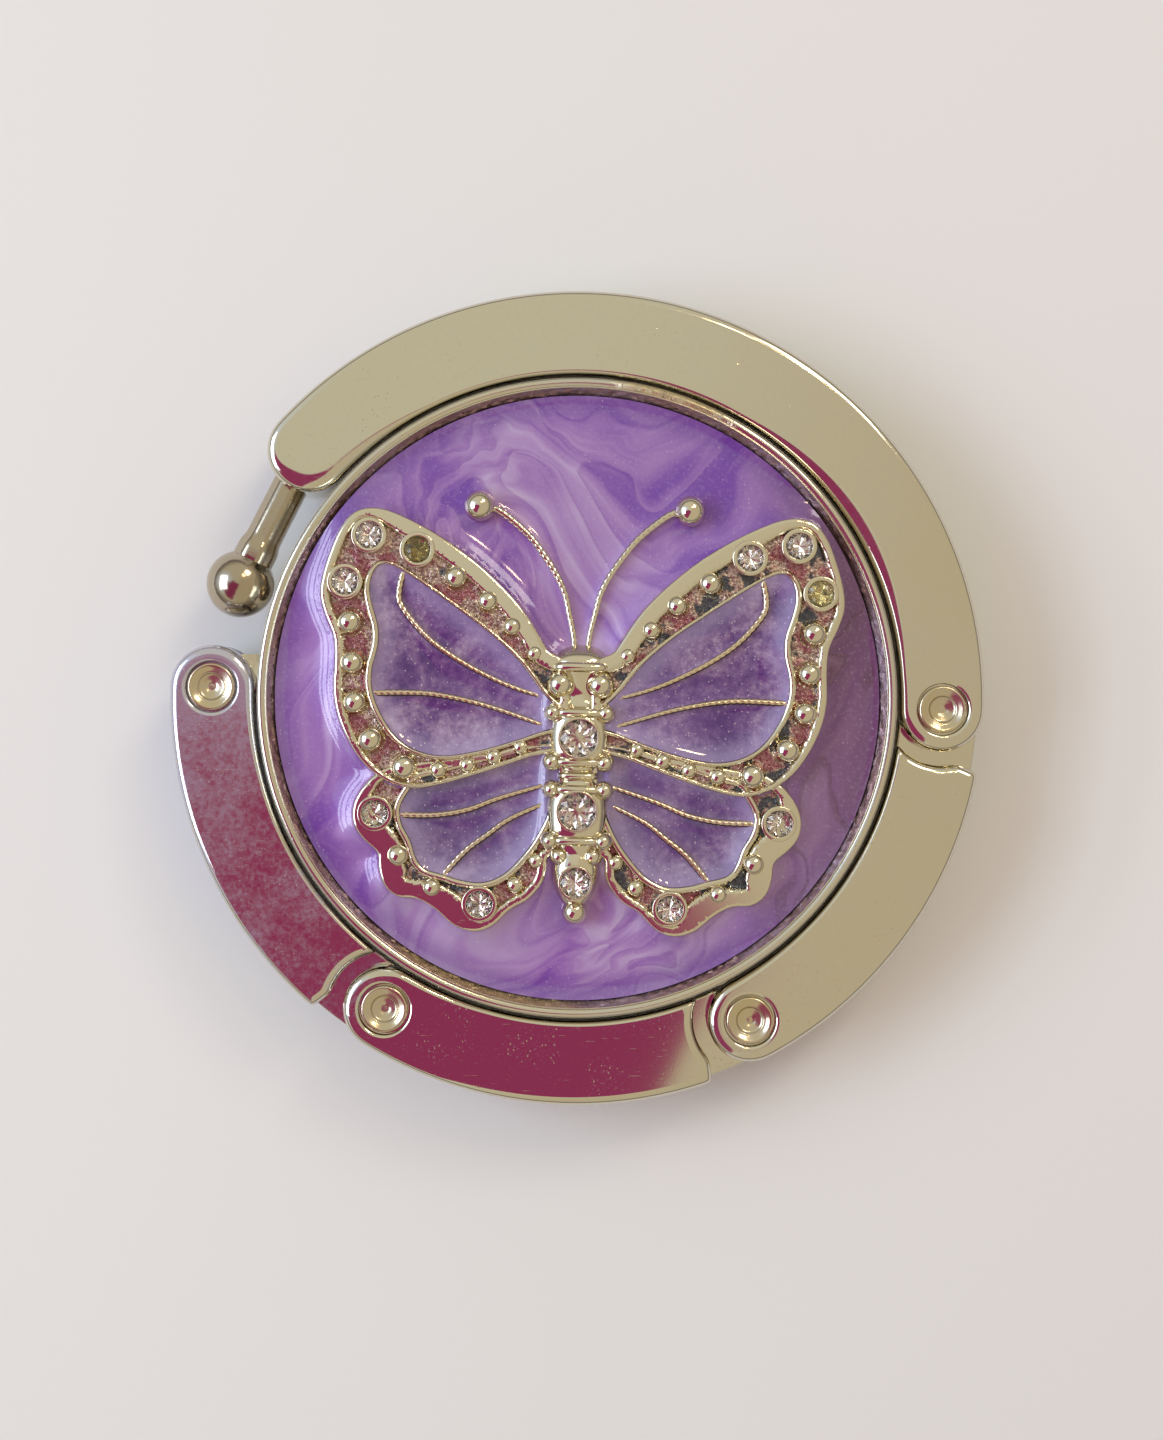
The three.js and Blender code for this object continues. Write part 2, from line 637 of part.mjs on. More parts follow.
// A ball with its centre at a height over a point of the plan
function bead(place, radius, height) {
  const ball = new THREE.SphereGeometry(radius, beadSides, beadSides / 2);
  return solidOf(ball.rotateX(radians(90)).translate(place.x, place.y, height));
}

// A bead of a wing's channel, taller than it is wide, with its equator at a height
function dome(place, radius, height) {
  const tall = new THREE.SphereGeometry(radius, beadSides, beadSides / 2).rotateX(radians(90));
  return solidOf(tall.scale(1, 1, beadTallShare).translate(place.x, place.y, height));
}

// The beads of both sides' channels, each sunk in the channel's floor
function channelBeads(shares, height) {
  const floor = enamelTopZ + height - channelDepth;
  return [1, -1].flatMap((side) => shares.map(([across, along, radiusShare]) => {
    const radius = radiusShare * wingReach;
    return dome(spot([across, along], side), radius, floor - radius * beadSinkShare);
  }));
}

// A round cup that a stone is set in, with its wall proud of what it stands on
function bezel(place, radius, top) {
  return rod(place, radius + stoneGap + bezelWall, enamelTopZ, top, bezelSides);
}

function bezelHole(place, radius, top) {
  return rod(place, radius + stoneGap, top - stoneDepth(radius), top + overrun, bezelSides);
}

// A round-cut stone is as deep as this under its girdle and as high above it.
const pavilionShare = 0.52;
const crownShare = 0.3;
const girdleShare = 0.08;
const tableShare = 0.56;
const culetShare = 0.15;
const stoneDepth = (radius) => radius * (pavilionShare + girdleShare);

// Every stone: its name, place, radius and the height of its bezel's top
function stoneTable() {
  const wingRows = [1, -1].flatMap((side) => {
    const hand = side > 0 ? 'right' : 'left';
    const upper = upperStoneShares.map((share, index) => ({
      name: `stone_upper_${hand}_${index + 1}`,
      place: spot(share, side),
      radius: stoneRadius,
      top: enamelTopZ + upperWingHeight + bezelRise,
    }));
    const lower = lowerStoneShares.map((share, index) => ({
      name: `stone_lower_${hand}_${index + 1}`,
      place: spot(share, side),
      radius: stoneRadius,
      top: enamelTopZ + lowerWingHeight + bezelRise,
    }));
    return [...upper, ...lower];
  });
  const bodyTop = enamelTopZ + bodyHeight + bezelRise;
  const back = backStoneShares.map((share, index) => ({
    name: `stone_body_${index + 1}`, place: spot(share, 1), radius: backStoneRadius, top: bodyTop,
  }));
  const tailPlace = spot(tailStoneShares, 1);
  const tail = { name: 'stone_body_3', place: tailPlace, radius: tailStoneRadius, top: bodyTop };
  return [...wingRows, ...back, tail];
}

// The veins: thin wires over the enamel, from the cell's border to the body
function veinSolids(wing, side) {
  const height = enamelTopZ + cellFloor + fillThickness + veinLift + veinRadius;
  return wing.veinShares.map((shares) => wire(shares.map((share) => spot(share, side)), height, veinRadius));
}

// A wire along a curve at one height
function wire(points, height, radius) {
  const raised = points.map((point) => new THREE.Vector3(point.x, point.y, height));
  const path = new THREE.CatmullRomCurve3(raised);
  const corners = Array.from({ length: wireSides }, (_, index) => polar(radius, index * 360 / wireSides));
  return solidOf(new THREE.ExtrudeGeometry(new THREE.Shape(corners), {
    steps: points.length, extrudePath: path, bevelEnabled: false,
  }));
}

// The body: a rounded spindle with four beaded collars, two eyes and a ball at the tail
function bodySolids() {
  const spindleProfile = [
    [0, bodyShares[0][0] * wingReach],
    ...bodyShares.map(([along, half]) => [half * bodyHalfWidth, along * wingReach]),
    [0, bodyShares[bodyShares.length - 1][0] * wingReach],
  ];
  const flatten = bodyHeight / bodyHalfWidth;
  const spindle = solidOf(
    revolve(spindleProfile, bodySides).rotateX(radians(-90)).scale(1, 1, flatten)
      .translate(0, 0, enamelTopZ),
  );
  const collars = collarShares.map((along) => {
    const half = collarHalfShare * wingReach;
    const middle = along * wingReach;
    const profile = [
      [0, middle - half], [bodyHalfWidth, middle - half], [bodyHalfWidth, middle + half], [0, middle + half],
    ];
    const bar = revolve(profile, bodySides).rotateX(radians(-90)).scale(1, 1, flatten);
    return solidOf(bar.translate(0, 0, enamelTopZ));
  });
  const sideBeads = collarShares.flatMap((along) => [1, -1].map((side) => {
    const place = new THREE.Vector2(side * collarBeadShare * bodyHalfWidth, along * wingReach);
    return bead(place, collarBeadRadiusShare * bodyHalfWidth, enamelTopZ + bodyHeight / 2);
  }));
  const eyes = [1, -1].map((side) => {
    const place = new THREE.Vector2(side * eyeShares[0] * bodyHalfWidth, eyeShares[1] * wingReach);
    return bead(place, eyeRadiusShare * bodyHalfWidth, enamelTopZ + bodyHeight / 2);
  });
  const tailPlace = new THREE.Vector2(0, tailBallShare * wingReach);
  const tailBall = bead(tailPlace, tailBallRadiusShare * bodyHalfWidth, enamelTopZ + bodyHeight / 2);
  return [spindle, ...collars, ...sideBeads, ...eyes, tailBall];
}

function antennaSolids() {
  return [1, -1].flatMap((side) => {
    const points = antennaShares.map((share) => spot(share, side));
    const ballHeight = enamelTopZ + antennaBallRadius / 2;
    return [
      wire(points, enamelTopZ + antennaRadius / 2, antennaRadius),
      bead(points[0], antennaBallRadius, ballHeight),
    ];
  });
}

// Butterfly: one plated casting with a flat back, fixed on the enamel.
function butterfly() {
  const stones = stoneTable();
  const wings = [1, -1].flatMap((side) => [wingSolid(upperWing, side), wingSolid(lowerWing, side)]);
  const veins = [1, -1].flatMap((side) => [...veinSolids(upperWing, side), ...veinSolids(lowerWing, side)]);
  const beads = [
    ...channelBeads(upperBeadShares, upperWingHeight), ...channelBeads(lowerBeadShares, lowerWingHeight),
  ];
  const bezels = stones.map(({ place, radius, top }) => bezel(place, radius, top));
  const holes = stones.map(({ place, radius, top }) => bezelHole(place, radius, top));
  const below = rod(new THREE.Vector2(), ringOuterRadius, enamelTopZ - bodyHeight * 2, enamelTopZ, endSides);
  const whole = joined([...wings, ...veins, ...beads, ...bodySolids(), ...antennaSolids(), ...bezels]);
  return meshOf('butterfly', geometryOf(cut(whole, [...holes, below])), nickel);
}

// Wing enamel: the darker glittering fill of each cell, a little below its border.
function wingEnamels() {
  const bottom = enamelTopZ + cellFloor;
  const top = bottom + fillThickness;
  return [1, -1].flatMap((side) => {
    const hand = side > 0 ? 'right' : 'left';
    const fillOf = (wing) => {
      const cell = outline(wing.cellShares, wing.cellRootShares, side, cellSteps);
      return solidOf(prism(inset(cell, () => fillGap), bottom, top));
    };
    const edge = outline(upperWing.edgeShares, upperWing.edgeRootShares, side, edgeSteps);
    const cover = solidOf(prism(inset(edge, () => -fillGap), bottom - overrun, top + overrun));
    return [
      meshOf(`wing_enamel_upper_${hand}`, geometryOf(fillOf(upperWing)), deepPurple),
      meshOf(`wing_enamel_lower_${hand}`, geometryOf(fillOf(lowerWing).subtract(cover)), deepPurple),
    ];
  });
}

// Stones: clear round-cut stones, eight-sided here, each seated on its cup's floor.
function stones() {
  return stoneTable().map(({ name, place, radius, top }) => {
    const floor = top - stoneDepth(radius);
    const profile = [
      [0, floor], [radius * culetShare, floor], [radius, floor + radius * pavilionShare],
      [radius, top], [radius * tableShare, top + radius * crownShare], [0, top + radius * crownShare],
    ];
    const stone = meshOf(name, revolve(profile, beadSides), crystal);
    stone.position.set(place.x, place.y, 0);
    return stone;
  });
}

const butterflyGroup = new THREE.Group();
butterflyGroup.add(butterfly(), ...wingEnamels(), ...stones());
butterflyGroup.position.x = butterflyShift;
butterflyGroup.rotation.z = radians(butterflyTurn);

const purseHook = new THREE.Group();
purseHook.add(
  rubberPad(), baseDrum(), medallionTray(), enamelField(), butterflyGroup,
  swivelLug(), swivelWasher(), ...chainLinks(), hookArm(), ballPin(), ...rivets(),
);

export default purseHook;
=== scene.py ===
import math

import bmesh
import bpy
import numpy as np
from mathutils import Matrix, Vector
from mathutils.geometry import delaunay_2d_cdt


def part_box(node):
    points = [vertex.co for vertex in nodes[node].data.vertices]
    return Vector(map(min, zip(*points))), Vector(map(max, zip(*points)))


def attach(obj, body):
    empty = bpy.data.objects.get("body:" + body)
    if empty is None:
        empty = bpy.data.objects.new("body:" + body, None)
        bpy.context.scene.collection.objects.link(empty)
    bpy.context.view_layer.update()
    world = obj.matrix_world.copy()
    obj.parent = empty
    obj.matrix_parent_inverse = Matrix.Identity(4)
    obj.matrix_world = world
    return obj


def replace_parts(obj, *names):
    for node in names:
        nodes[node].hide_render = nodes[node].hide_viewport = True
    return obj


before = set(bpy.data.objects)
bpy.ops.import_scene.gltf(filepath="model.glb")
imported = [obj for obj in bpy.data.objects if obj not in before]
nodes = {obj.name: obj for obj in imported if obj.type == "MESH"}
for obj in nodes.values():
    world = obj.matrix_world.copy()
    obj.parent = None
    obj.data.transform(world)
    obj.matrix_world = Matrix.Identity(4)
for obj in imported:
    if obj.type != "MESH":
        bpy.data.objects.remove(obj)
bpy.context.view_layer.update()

scene = bpy.context.scene
mm = 0.001


# Studio: a plain pale table in a pale room, lit through three panes of a window on the left, by a
# soft lamp above the right and by two small bulbs. A wine-coloured card hangs beside the camera,
# because polished plate shows only what it reflects. The camera looks straight down.
class Socket:
    """The output of a node. Arithmetic on it adds Math nodes to the same tree."""

    def __init__(self, tree, output):
        self.tree = tree
        self.output = output

    def maths(self, operation, first, second):
        return self.tree.node("ShaderNodeMath", {"operation": operation}, {0: first, 1: second})

    def __add__(self, other):
        return self.maths("ADD", self, other)

    def __radd__(self, other):
        return self.maths("ADD", other, self)

    def __sub__(self, other):
        return self.maths("SUBTRACT", self, other)

    def __rsub__(self, other):
        return self.maths("SUBTRACT", other, self)

    def __mul__(self, other):
        return self.maths("MULTIPLY", self, other)

    def __rmul__(self, other):
        return self.maths("MULTIPLY", other, self)

    def above(self, level, softness):
        """1 where the value is over the level, 0 where it is under it, and soft between."""
        return self.tree.node(
            "ShaderNodeMapRange",
            {"interpolation_type": "SMOOTHSTEP"},
            {"Value": self, "From Min": level - softness, "From Max": level + softness},
        )


class Tree:
    """The node tree of a material or of the world."""

    def __init__(self, node_tree):
        self.nodes = node_tree.nodes
        self.links = node_tree.links

    def fill(self, socket, value):
        if isinstance(value, Socket):
            self.links.new(value.output, socket)
        else:
            socket.default_value = value

    def node(self, kind, settings, sockets, output=0):
        made = self.nodes.new(kind)
        for name, value in settings.items():
            if name == "stops":
                stops = made.color_ramp.elements
                for index, (place, colour) in enumerate(value):
                    stop = stops[index] if index < 2 else stops.new(place)
                    stop.position = place
                    stop.color = (*colour, 1)
            else:
                setattr(made, name, value)
        for name, value in sockets.items():
            self.fill(made.inputs[name], value)
        return Socket(self, made.outputs[output])

    def mix(self, share, first, second):
        """One colour turning into another."""
        return self.node(
            "ShaderNodeMix",
            {"data_type": "RGBA"},
            {"Factor": share, 6: first, 7: second},
            output=2,
        )

    def vectors(self, operation, sockets, output=0):
        """Vector Math, for places and directions."""
        return self.node("ShaderNodeVectorMath", {"operation": operation}, sockets, output)

    def axis(self, vector, name):
        """One of the three numbers of a vector."""
        return self.node("ShaderNodeSeparateXYZ", {}, {0: vector}, name)


photo_width = 1163
photo_height = 1440
pixels_per_mm = 18.04
disc_pixel = (577, 698)
camera_height = 110 * mm
sensor_height = 24
ring_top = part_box("link_1")[1].z

camera_data = bpy.data.cameras.new("camera")
camera_data.sensor_fit = "VERTICAL"
camera_data.sensor_height = sensor_height
view_height = photo_height / pixels_per_mm * mm
camera_data.lens = sensor_height * camera_height / view_height
camera_data.clip_start = 5 * mm
camera = bpy.data.objects.new("camera", camera_data)
camera.location = (
    (photo_width / 2 - disc_pixel[0]) / pixels_per_mm * mm,
    (disc_pixel[1] - photo_height / 2) / pixels_per_mm * mm,
    ring_top + camera_height,
)
scene.collection.objects.link(camera)
scene.camera = camera
scene.view_settings.view_transform = "Standard"

table_colour = (0.83, 0.84, 0.86, 1)
table_roughness = 0.7
table_size = 1.2
half = table_size / 2
table_mesh = bpy.data.meshes.new("table")
table_mesh.from_pydata(
    [(-half, -half, 0), (half, -half, 0), (half, half, 0), (-half, half, 0)], [], [(0, 1, 2, 3)],
)
table = bpy.data.objects.new("table", table_mesh)
scene.collection.objects.link(table)
table_material = bpy.data.materials.new("pale_table")
table_material.use_nodes = True
table_shader = table_material.node_tree.nodes["Principled BSDF"]
table_shader.inputs["Base Color"].default_value = table_colour
table_shader.inputs["Roughness"].default_value = table_roughness
table_mesh.materials.append(table_material)

ceiling_colour = (0.805, 0.770, 0.625, 1)
warm_ceiling_colour = (0.72, 0.635, 0.470, 1)
horizon_colour = (0.24, 0.21, 0.20, 1)
wine_colour = (0.38, 0.050, 0.165, 1)
glow_colour = (0.86, 0.98, 1.22, 1)
sky_strength = 0.85
glow_direction, glow_angle = (-0.75, 0.05, 0.62), 30
card_direction, card_angle = (-0.2875, -0.4504, 0.845), 30.6
card_cut_direction, half_the_sky = (-0.912, 0.409, 0.1146), 90
card_lobe_direction, card_lobe_angle = (-0.287, -0.019, 0.958), 7.8
world = bpy.data.worlds.new("studio")
world.use_nodes = True
scene.world = world
sky = Tree(world.node_tree)
direction = sky.node("ShaderNodeTexCoord", {}, {}, "Generated")
rightward = sky.axis(direction, "X")
forward = sky.axis(direction, "Y")
height = sky.axis(direction, "Z")
ceiling = sky.mix((rightward - forward * 0.3).above(0.06, 0.14), ceiling_colour, warm_ceiling_colour)
surround = sky.mix(height.above(0.26, 0.20), horizon_colour, ceiling)


def cap(axis, angle, softness):
    """1 for the directions that lie within an angle of an axis."""
    nearness = sky.vectors("DOT_PRODUCT", {0: direction, 1: Vector(axis).normalized()}, "Value")
    return nearness.above(math.cos(math.radians(angle)), softness)


surround = sky.mix(cap(glow_direction, glow_angle, 0.10), surround, glow_colour)
card = cap(card_direction, card_angle, 0.005) * cap(card_cut_direction, half_the_sky, 0.002)
card = 1 - (1 - card) * (1 - cap(card_lobe_direction, card_lobe_angle, 0.001))
surround = sky.mix(card, surround, wine_colour)
background = world.node_tree.nodes["Background"]
sky.fill(background.inputs["Color"], surround)
background.inputs["Strength"].default_value = sky_strength


def lamp(name, place, width, height, power, colour):
    """A soft flat lamp that points at the middle of the object."""
    data = bpy.data.lights.new(name, "AREA")
    data.shape = "RECTANGLE"
    data.size = width
    data.size_y = height
    data.energy = power
    data.color = colour
    made = bpy.data.objects.new(name, data)
    made.location = place
    made.rotation_euler = (-Vector(place)).to_track_quat("-Z", "Y").to_euler()
    scene.collection.objects.link(made)


window_light = (0.80, 0.90, 1.0)
lamp_light = (1.0, 0.94, 0.84)
bulb_light = (1.0, 0.74, 0.44)
pane_width = 0.26
lamp_size, lamp_power = 0.12, 0.26
bulb_size, bulb_power = 0.010, 0.012
lamp("low_pane", (-0.318, 0.02, 0.168), pane_width, 0.034, 0.17, window_light)
lamp("middle_pane", (-0.280, 0.02, 0.226), pane_width, 0.058, 0.29, window_light)
lamp("high_pane", (-0.238, 0.02, 0.270), pane_width, 0.026, 0.13, window_light)
lamp("top_lamp", (0.20, 0.26, 0.30), lamp_size, lamp_size, lamp_power, lamp_light)
lamp("bulb", (0.045, 0.110, 0.20), bulb_size, bulb_size, bulb_power, bulb_light)
lamp("second_bulb", (0.066, 0.100, 0.20), bulb_size, bulb_size, bulb_power, bulb_light)


# Rubber pad: a moulded disc of soft black rubber, glued in the recess under the cup. It grips
# the table, and its edge shows below the cup's rounded side.
fine_relief = 0.03 * mm
merge_distance = 0.0003 * mm


def finish(name, **constants):
    """A new material and its tree, with the numbers that are the same all over it."""
    material = bpy.data.materials.new(name)
    material.use_nodes = True
    shader = material.node_tree.nodes["Principled BSDF"]
    for socket, value in constants.items():
        shader.inputs[socket.replace("_", " ")].default_value = value
    return material, Tree(material.node_tree), shader


def place_in_mm(tree):
    """Where a point of the piece is, in millimetres, so that grain and marks have real sizes."""
    place = tree.node("ShaderNodeTexCoord", {}, {}, "Object")
    return tree.vectors("SCALE", {0: place, "Scale": 1 / mm})


def noise(tree, place, per_mm, detail=3.0, roughness=0.5, distortion=0.0, output="Fac"):
    return tree.node(
        "ShaderNodeTexNoise",
        {"noise_dimensions": "3D"},
        {"Vector": place, "Scale": per_mm, "Detail": detail, "Roughness": roughness,
         "Distortion": distortion},
        output,
    )


def bump(tree, shader, height, depth, strength=1.0):
    """Relief from a height of 0 to 1 that is as deep as the real one."""
    normal = tree.node(
        "ShaderNodeBump", {}, {"Height": height, "Distance": depth, "Strength": strength}, "Normal",
    )
    tree.fill(shader.inputs["Normal"], normal)


def rubber_finish():
    """Black rubber with a moulded grain and a little pale dust on it."""
    material, tree, shader = finish("pad_rubber", Specular_IOR_Level=0.35)
    place = place_in_mm(tree)
    grain = noise(tree, place, 6.0, detail=4.0)
    dust = noise(tree, place, 1.1, detail=6.0, roughness=0.65).above(0.58, 0.08)
    colour = tree.mix(dust * 0.5, (0.018, 0.018, 0.020, 1), (0.07, 0.07, 0.07, 1))
    tree.fill(shader.inputs["Base Color"], colour)
    tree.fill(shader.inputs["Roughness"], 0.62 + grain * 0.25)
    bump(tree, shader, grain, fine_relief)
    return material


def new_piece(name, bm, material, body, sharp=38):
    """A mesh made into a piece that moves with a body. Edges over an angle in degrees stay sharp."""
    bmesh.ops.remove_doubles(bm, verts=bm.verts, dist=merge_distance)
    mesh = bpy.data.meshes.new(name)
    bm.normal_update()
    bm.to_mesh(mesh)
    bm.free()
    mesh.shade_smooth()
    mesh.set_sharp_from_angle(angle=math.radians(sharp))
    for each in material if isinstance(material, (list, tuple)) else [material]:
        mesh.materials.append(each)
    piece = bpy.data.objects.new(name, mesh)
    scene.collection.objects.link(piece)
    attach(piece, body)
    return piece


def rounded(profile, radius, steps=4):
    """A profile of (radius, height) pairs with its inner corners turned into arcs."""
    points = [Vector(profile[0])]
    for before, corner, after in zip(profile, profile[1:], profile[2:]):
        corner = Vector(corner)
        to_before = Vector(before) - corner
        to_after = Vector(after) - corner
        reach = min(radius, to_before.length * 0.45, to_after.length * 0.45)
        start = corner + to_before.normalized() * reach
        end = corner + to_after.normalized() * reach
        for step in range(steps + 1):
            share = step / steps
            points.append(
                start * (1 - share) ** 2 + corner * 2 * share * (1 - share) + end * share ** 2
            )
    points.append(Vector(profile[-1]))
    return points


def ring_of(bm, centre, radius, height, count, offset=0):
    """Corners in a level ring. An offset turns the ring by a share of a step."""
    angles = [math.tau * (i + offset) / count for i in range(count)]
    return [
        bm.verts.new((
            centre[0] + radius * math.cos(a), centre[1] + radius * math.sin(a), centre[2] + height,
        ))
        for a in angles
    ]


def bridge(bm, rings, material_index=0, flipped=False):
    """Faces between each ring of corners and the next. A ring of one corner is a pole."""
    sides = max(len(ring) for ring in rings)
    for low, high in zip(rings, rings[1:]):
        for side in range(sides):
            after = (side + 1) % sides
            corners = [
                low[side % len(low)], low[after % len(low)], high[after % len(high)], high[side % len(high)],
            ]
            corners = list(dict.fromkeys(corners))
            if len(corners) > 2:
                bm.faces.new(corners[::-1] if flipped else corners).material_index = material_index


def turn(bm, profile, sides, centre, material_index=0):
    """A profile of (radius, height) pairs turned about an upright axis, added to a mesh."""
    rings = []
    for radius, height in profile:
        if radius < 1e-9:
            rings.append([bm.verts.new((centre[0], centre[1], centre[2] + height))])
        else:
            rings.append(ring_of(bm, centre, radius, height, sides))
    bridge(bm, rings, material_index)


pad_edge = 0.3 * mm
pad_sides = 160
pad_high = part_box("rubber_pad")[1]
pad_radius = pad_high.x
pad_profile = [(0, 0), (pad_radius, 0), (pad_radius, pad_high.z), (0, pad_high.z)]
pad_mesh = bmesh.new()
turn(pad_mesh, rounded(pad_profile, pad_edge), pad_sides, (0, 0, 0))
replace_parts(new_piece("pad", pad_mesh, rubber_finish(), "disc"), "rubber_pad")


# Base drum: a zinc casting, turned, polished and nickel-plated. It is a cup with a thin rim, and
# its side follows a ball, because the chain turns round it on the swivel.
def spots(tree, place, per_mm, output="Distance"):
    """Scattered spots: how far the nearest one is, or a colour that each has for itself."""
    return tree.node(
        "ShaderNodeTexVoronoi", {"feature": "F1"}, {"Vector": place, "Scale": per_mm}, output,
    )


def dimmed(tone, share):
    """A share of a tone, as a colour."""
    return (*(channel * share for channel in tone), 1)


def plate_finish(name, tone, roughness, pits=0.0, cast=0.0, film=0.25, marks_and_glint=None, handled=False,
                 underside_shade=0.0):
    """Nickel plate with scratches, pin-holes and a film of handling. Cast grain shows where it is
    unpolished, and file marks between two directions lie under a painted golden glint. Painted
    shade darkens the sides that face down, away from a crest."""
    material, tree, shader = finish(name)
    place = place_in_mm(tree)
    cloud = noise(tree, place, 0.20, detail=4.0, roughness=0.55, distortion=0.3)
    if handled:
        cloud = cloud + tree.axis(place, "Y") * 0.020 - tree.axis(place, "X") * 0.012 + 0.05
    fine = noise(tree, place, 9.0, detail=3.0)
    lumps = noise(tree, place, 2.6, detail=3.0, roughness=0.55)
    stretched = tree.node(
        "ShaderNodeMapping", {"vector_type": "POINT"},
        {"Vector": place, "Rotation": (0, 0, 0.7), "Scale": (0.5, 16.0, 2.0)},
    )
    scratches = noise(tree, stretched, 1.0, detail=2.0).above(0.745, 0.03)
    crowd = noise(tree, place, 0.45, detail=3.0, roughness=0.6).above(0.54, 0.10)
    pinholes = (1 - spots(tree, place, 3.4).above(0.12, 0.06)) * crowd * pits
    grain = noise(tree, place, 3.2, detail=6.0, roughness=0.85)
    haze = (cloud + (grain - 0.5) * 1.1).above(0.56, 0.20) * film
    specks = noise(tree, place, 6.5, detail=4.0, roughness=0.7).above(0.62, 0.05) * (0.3 + crowd) * film
    base = tree.mix(pinholes * 0.6, (*tone, 1), dimmed(tone, 0.6))
    base = tree.mix(haze * 0.55 + specks * 0.2, base, (0.46, 0.50, 0.86, 1))
    rough = roughness + haze * 0.10 + specks * 0.08 + pinholes * 0.25 + scratches * 0.06 + lumps * cast * 0.12
    relief = fine * (0.004 + cast * 0.35) + lumps * cast - pinholes * 0.2 - scratches * 0.03
    if marks_and_glint:
        sockets = {0: tree.axis(place, "Y"), 1: tree.axis(place, "X")}
        angle = tree.node("ShaderNodeMath", {"operation": "ARCTAN2"}, sockets)
        marks = tree.node("ShaderNodeTexNoise", {"noise_dimensions": "1D"}, {"W": angle * 60, "Detail": 3.0})
        there = angle.above(marks_and_glint[0], 0.06) * (1 - angle.above(marks_and_glint[1], 0.06))
        relief = relief + marks.above(0.5, 0.08) * there * 0.9
        # Painted highlight: a golden glint is painted into the colour over the filed band.
        base = tree.mix(there * 0.5, base, (0.86, 0.66, 0.30, 1))
    # Painted shade: the sides that face down and away from a crest are darkened as if in shadow.
    if underside_shade:
        facing = tree.node("ShaderNodeTexCoord", {}, {}, "Normal")
        shaded_side = (0.62 - tree.axis(facing, "Z") * 0.90 - tree.axis(facing, "Y") * 0.50).above(0.10, 0.12)
        base = tree.mix(shaded_side * underside_shade, base, (0.060, 0.012, 0.022, 1))
    tree.fill(shader.inputs["Base Color"], base)
    tree.fill(shader.inputs["Metallic"], 1 - haze * 0.34 - specks * 0.2)
    tree.fill(shader.inputs["Roughness"], rough)
    bump(tree, shader, relief, fine_relief)
    return material


nickel_tone = (0.70, 0.655, 0.525)
swivel_height = 3.65 * mm
drum_radius = 17.72 * mm
drum_fullness = 0.18 * mm
drum_foot_inset = 0.9 * mm
drum_corner = 0.05 * mm
drum_sides = 240
side_steps, first_side_step = 24, 4
recess_depth = 0.6 * mm
recess_clearance = 0.12 * mm
rim_depth = 1.2 * mm
rim_clearance = 0.01 * mm
rim_edge = 0.12 * mm
rim_steps = 12
# Directions round the axis, in radians, of the rim's file marks and the golden glint painted over them.
drum_marks_and_glint = (1.08, 1.42)
drum_low, drum_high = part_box("base_drum")
rim_top = drum_high.z
rim_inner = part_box("medallion_tray")[1].x + rim_clearance


def drum_side(height):
    """How far the side of the drum is from its axis at a height: a ball's, a little fuller above."""
    share = max(0.0, (height - swivel_height) / (rim_top - swivel_height))
    return math.sqrt((drum_radius + drum_fullness * share ** 2) ** 2 - (height - swivel_height) ** 2)


side_top = rim_top - rim_edge
recess_top = drum_low.z + recess_depth
recess_radius = pad_radius + recess_clearance
drum_profile = [(0, recess_top), (recess_radius, recess_top), (recess_radius, drum_low.z)]
drum_profile.append((drum_side(drum_low.z) - drum_foot_inset, drum_low.z))
for step in range(first_side_step, side_steps + 1):
    height = drum_low.z + (side_top - drum_low.z) * step / side_steps
    drum_profile.append((drum_side(height), height))
for step in range(1, rim_steps + 1):
    share = step / rim_steps
    drop = (rim_edge if share < 0.5 else rim_edge * 0.6) * (2 * share - 1) ** 2
    drum_profile.append((drum_side(side_top) * (1 - share) + rim_inner * share, rim_top - drop))
drum_profile.append((rim_inner, rim_top - rim_depth))
drum_mesh = bmesh.new()
turn(drum_mesh, rounded(drum_profile, drum_corner, 5), drum_sides, (0, 0, 0))
drum_plate = plate_finish("drum_plate", nickel_tone, 0.12, pits=0.3, marks_and_glint=drum_marks_and_glint)
drum = new_piece("drum", drum_mesh, drum_plate, "disc", sharp=60)
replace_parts(drum, "base_drum")


# Medallion tray: a shallow cast dish pressed into the drum's rim. Its lip is rolled and bright,
# and its inner wall is left rough from the mould so that the enamel grips it.
lip_width = 0.40 * mm
lip_drop = 0.07 * mm
lip_corner = 0.035 * mm
wall_steps = 5
wall_sides = 720
wall_grit = 0.05
# Directions round the axis, in radians, of the wall's file marks and the golden glint painted over them.
tray_marks_and_glint = (-2.20, -1.60)
tray_low, tray_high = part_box("medallion_tray")
field_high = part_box("enamel_field")[1]
tray_radius = tray_high.x
lip_top = tray_high.z
enamel_top = field_high.z
enamel_radius = field_high.x
lip_inner = enamel_radius + lip_width
lip_low = lip_top - lip_drop
rough_plate = plate_finish(
    "mould_rough_plate", (0.40, 0.25, 0.24), 0.34, pits=1.0, cast=2.2, film=0.5, marks_and_glint=tray_marks_and_glint,
)
tray_mesh = bmesh.new()
lip_profile = [(tray_radius, tray_low.z), (tray_radius, lip_top), (lip_inner, lip_top), (lip_inner, lip_low)]
turn(tray_mesh, rounded(lip_profile, lip_corner, 4), drum_sides, (0, 0, 0))
wall_profile = [(lip_inner, lip_low)]
for step in range(1, wall_steps + 1):
    share = step / wall_steps
    wall_profile.append((
        lip_inner + (enamel_radius - lip_inner) * share, lip_low + (enamel_top - lip_top) * share,
    ))
wall_mesh = bmesh.new()
turn(wall_mesh, [*wall_profile, (enamel_radius, tray_low.z), (0, tray_low.z)], wall_sides, (0, 0, 0), 1)
grit = np.random.RandomState(5)
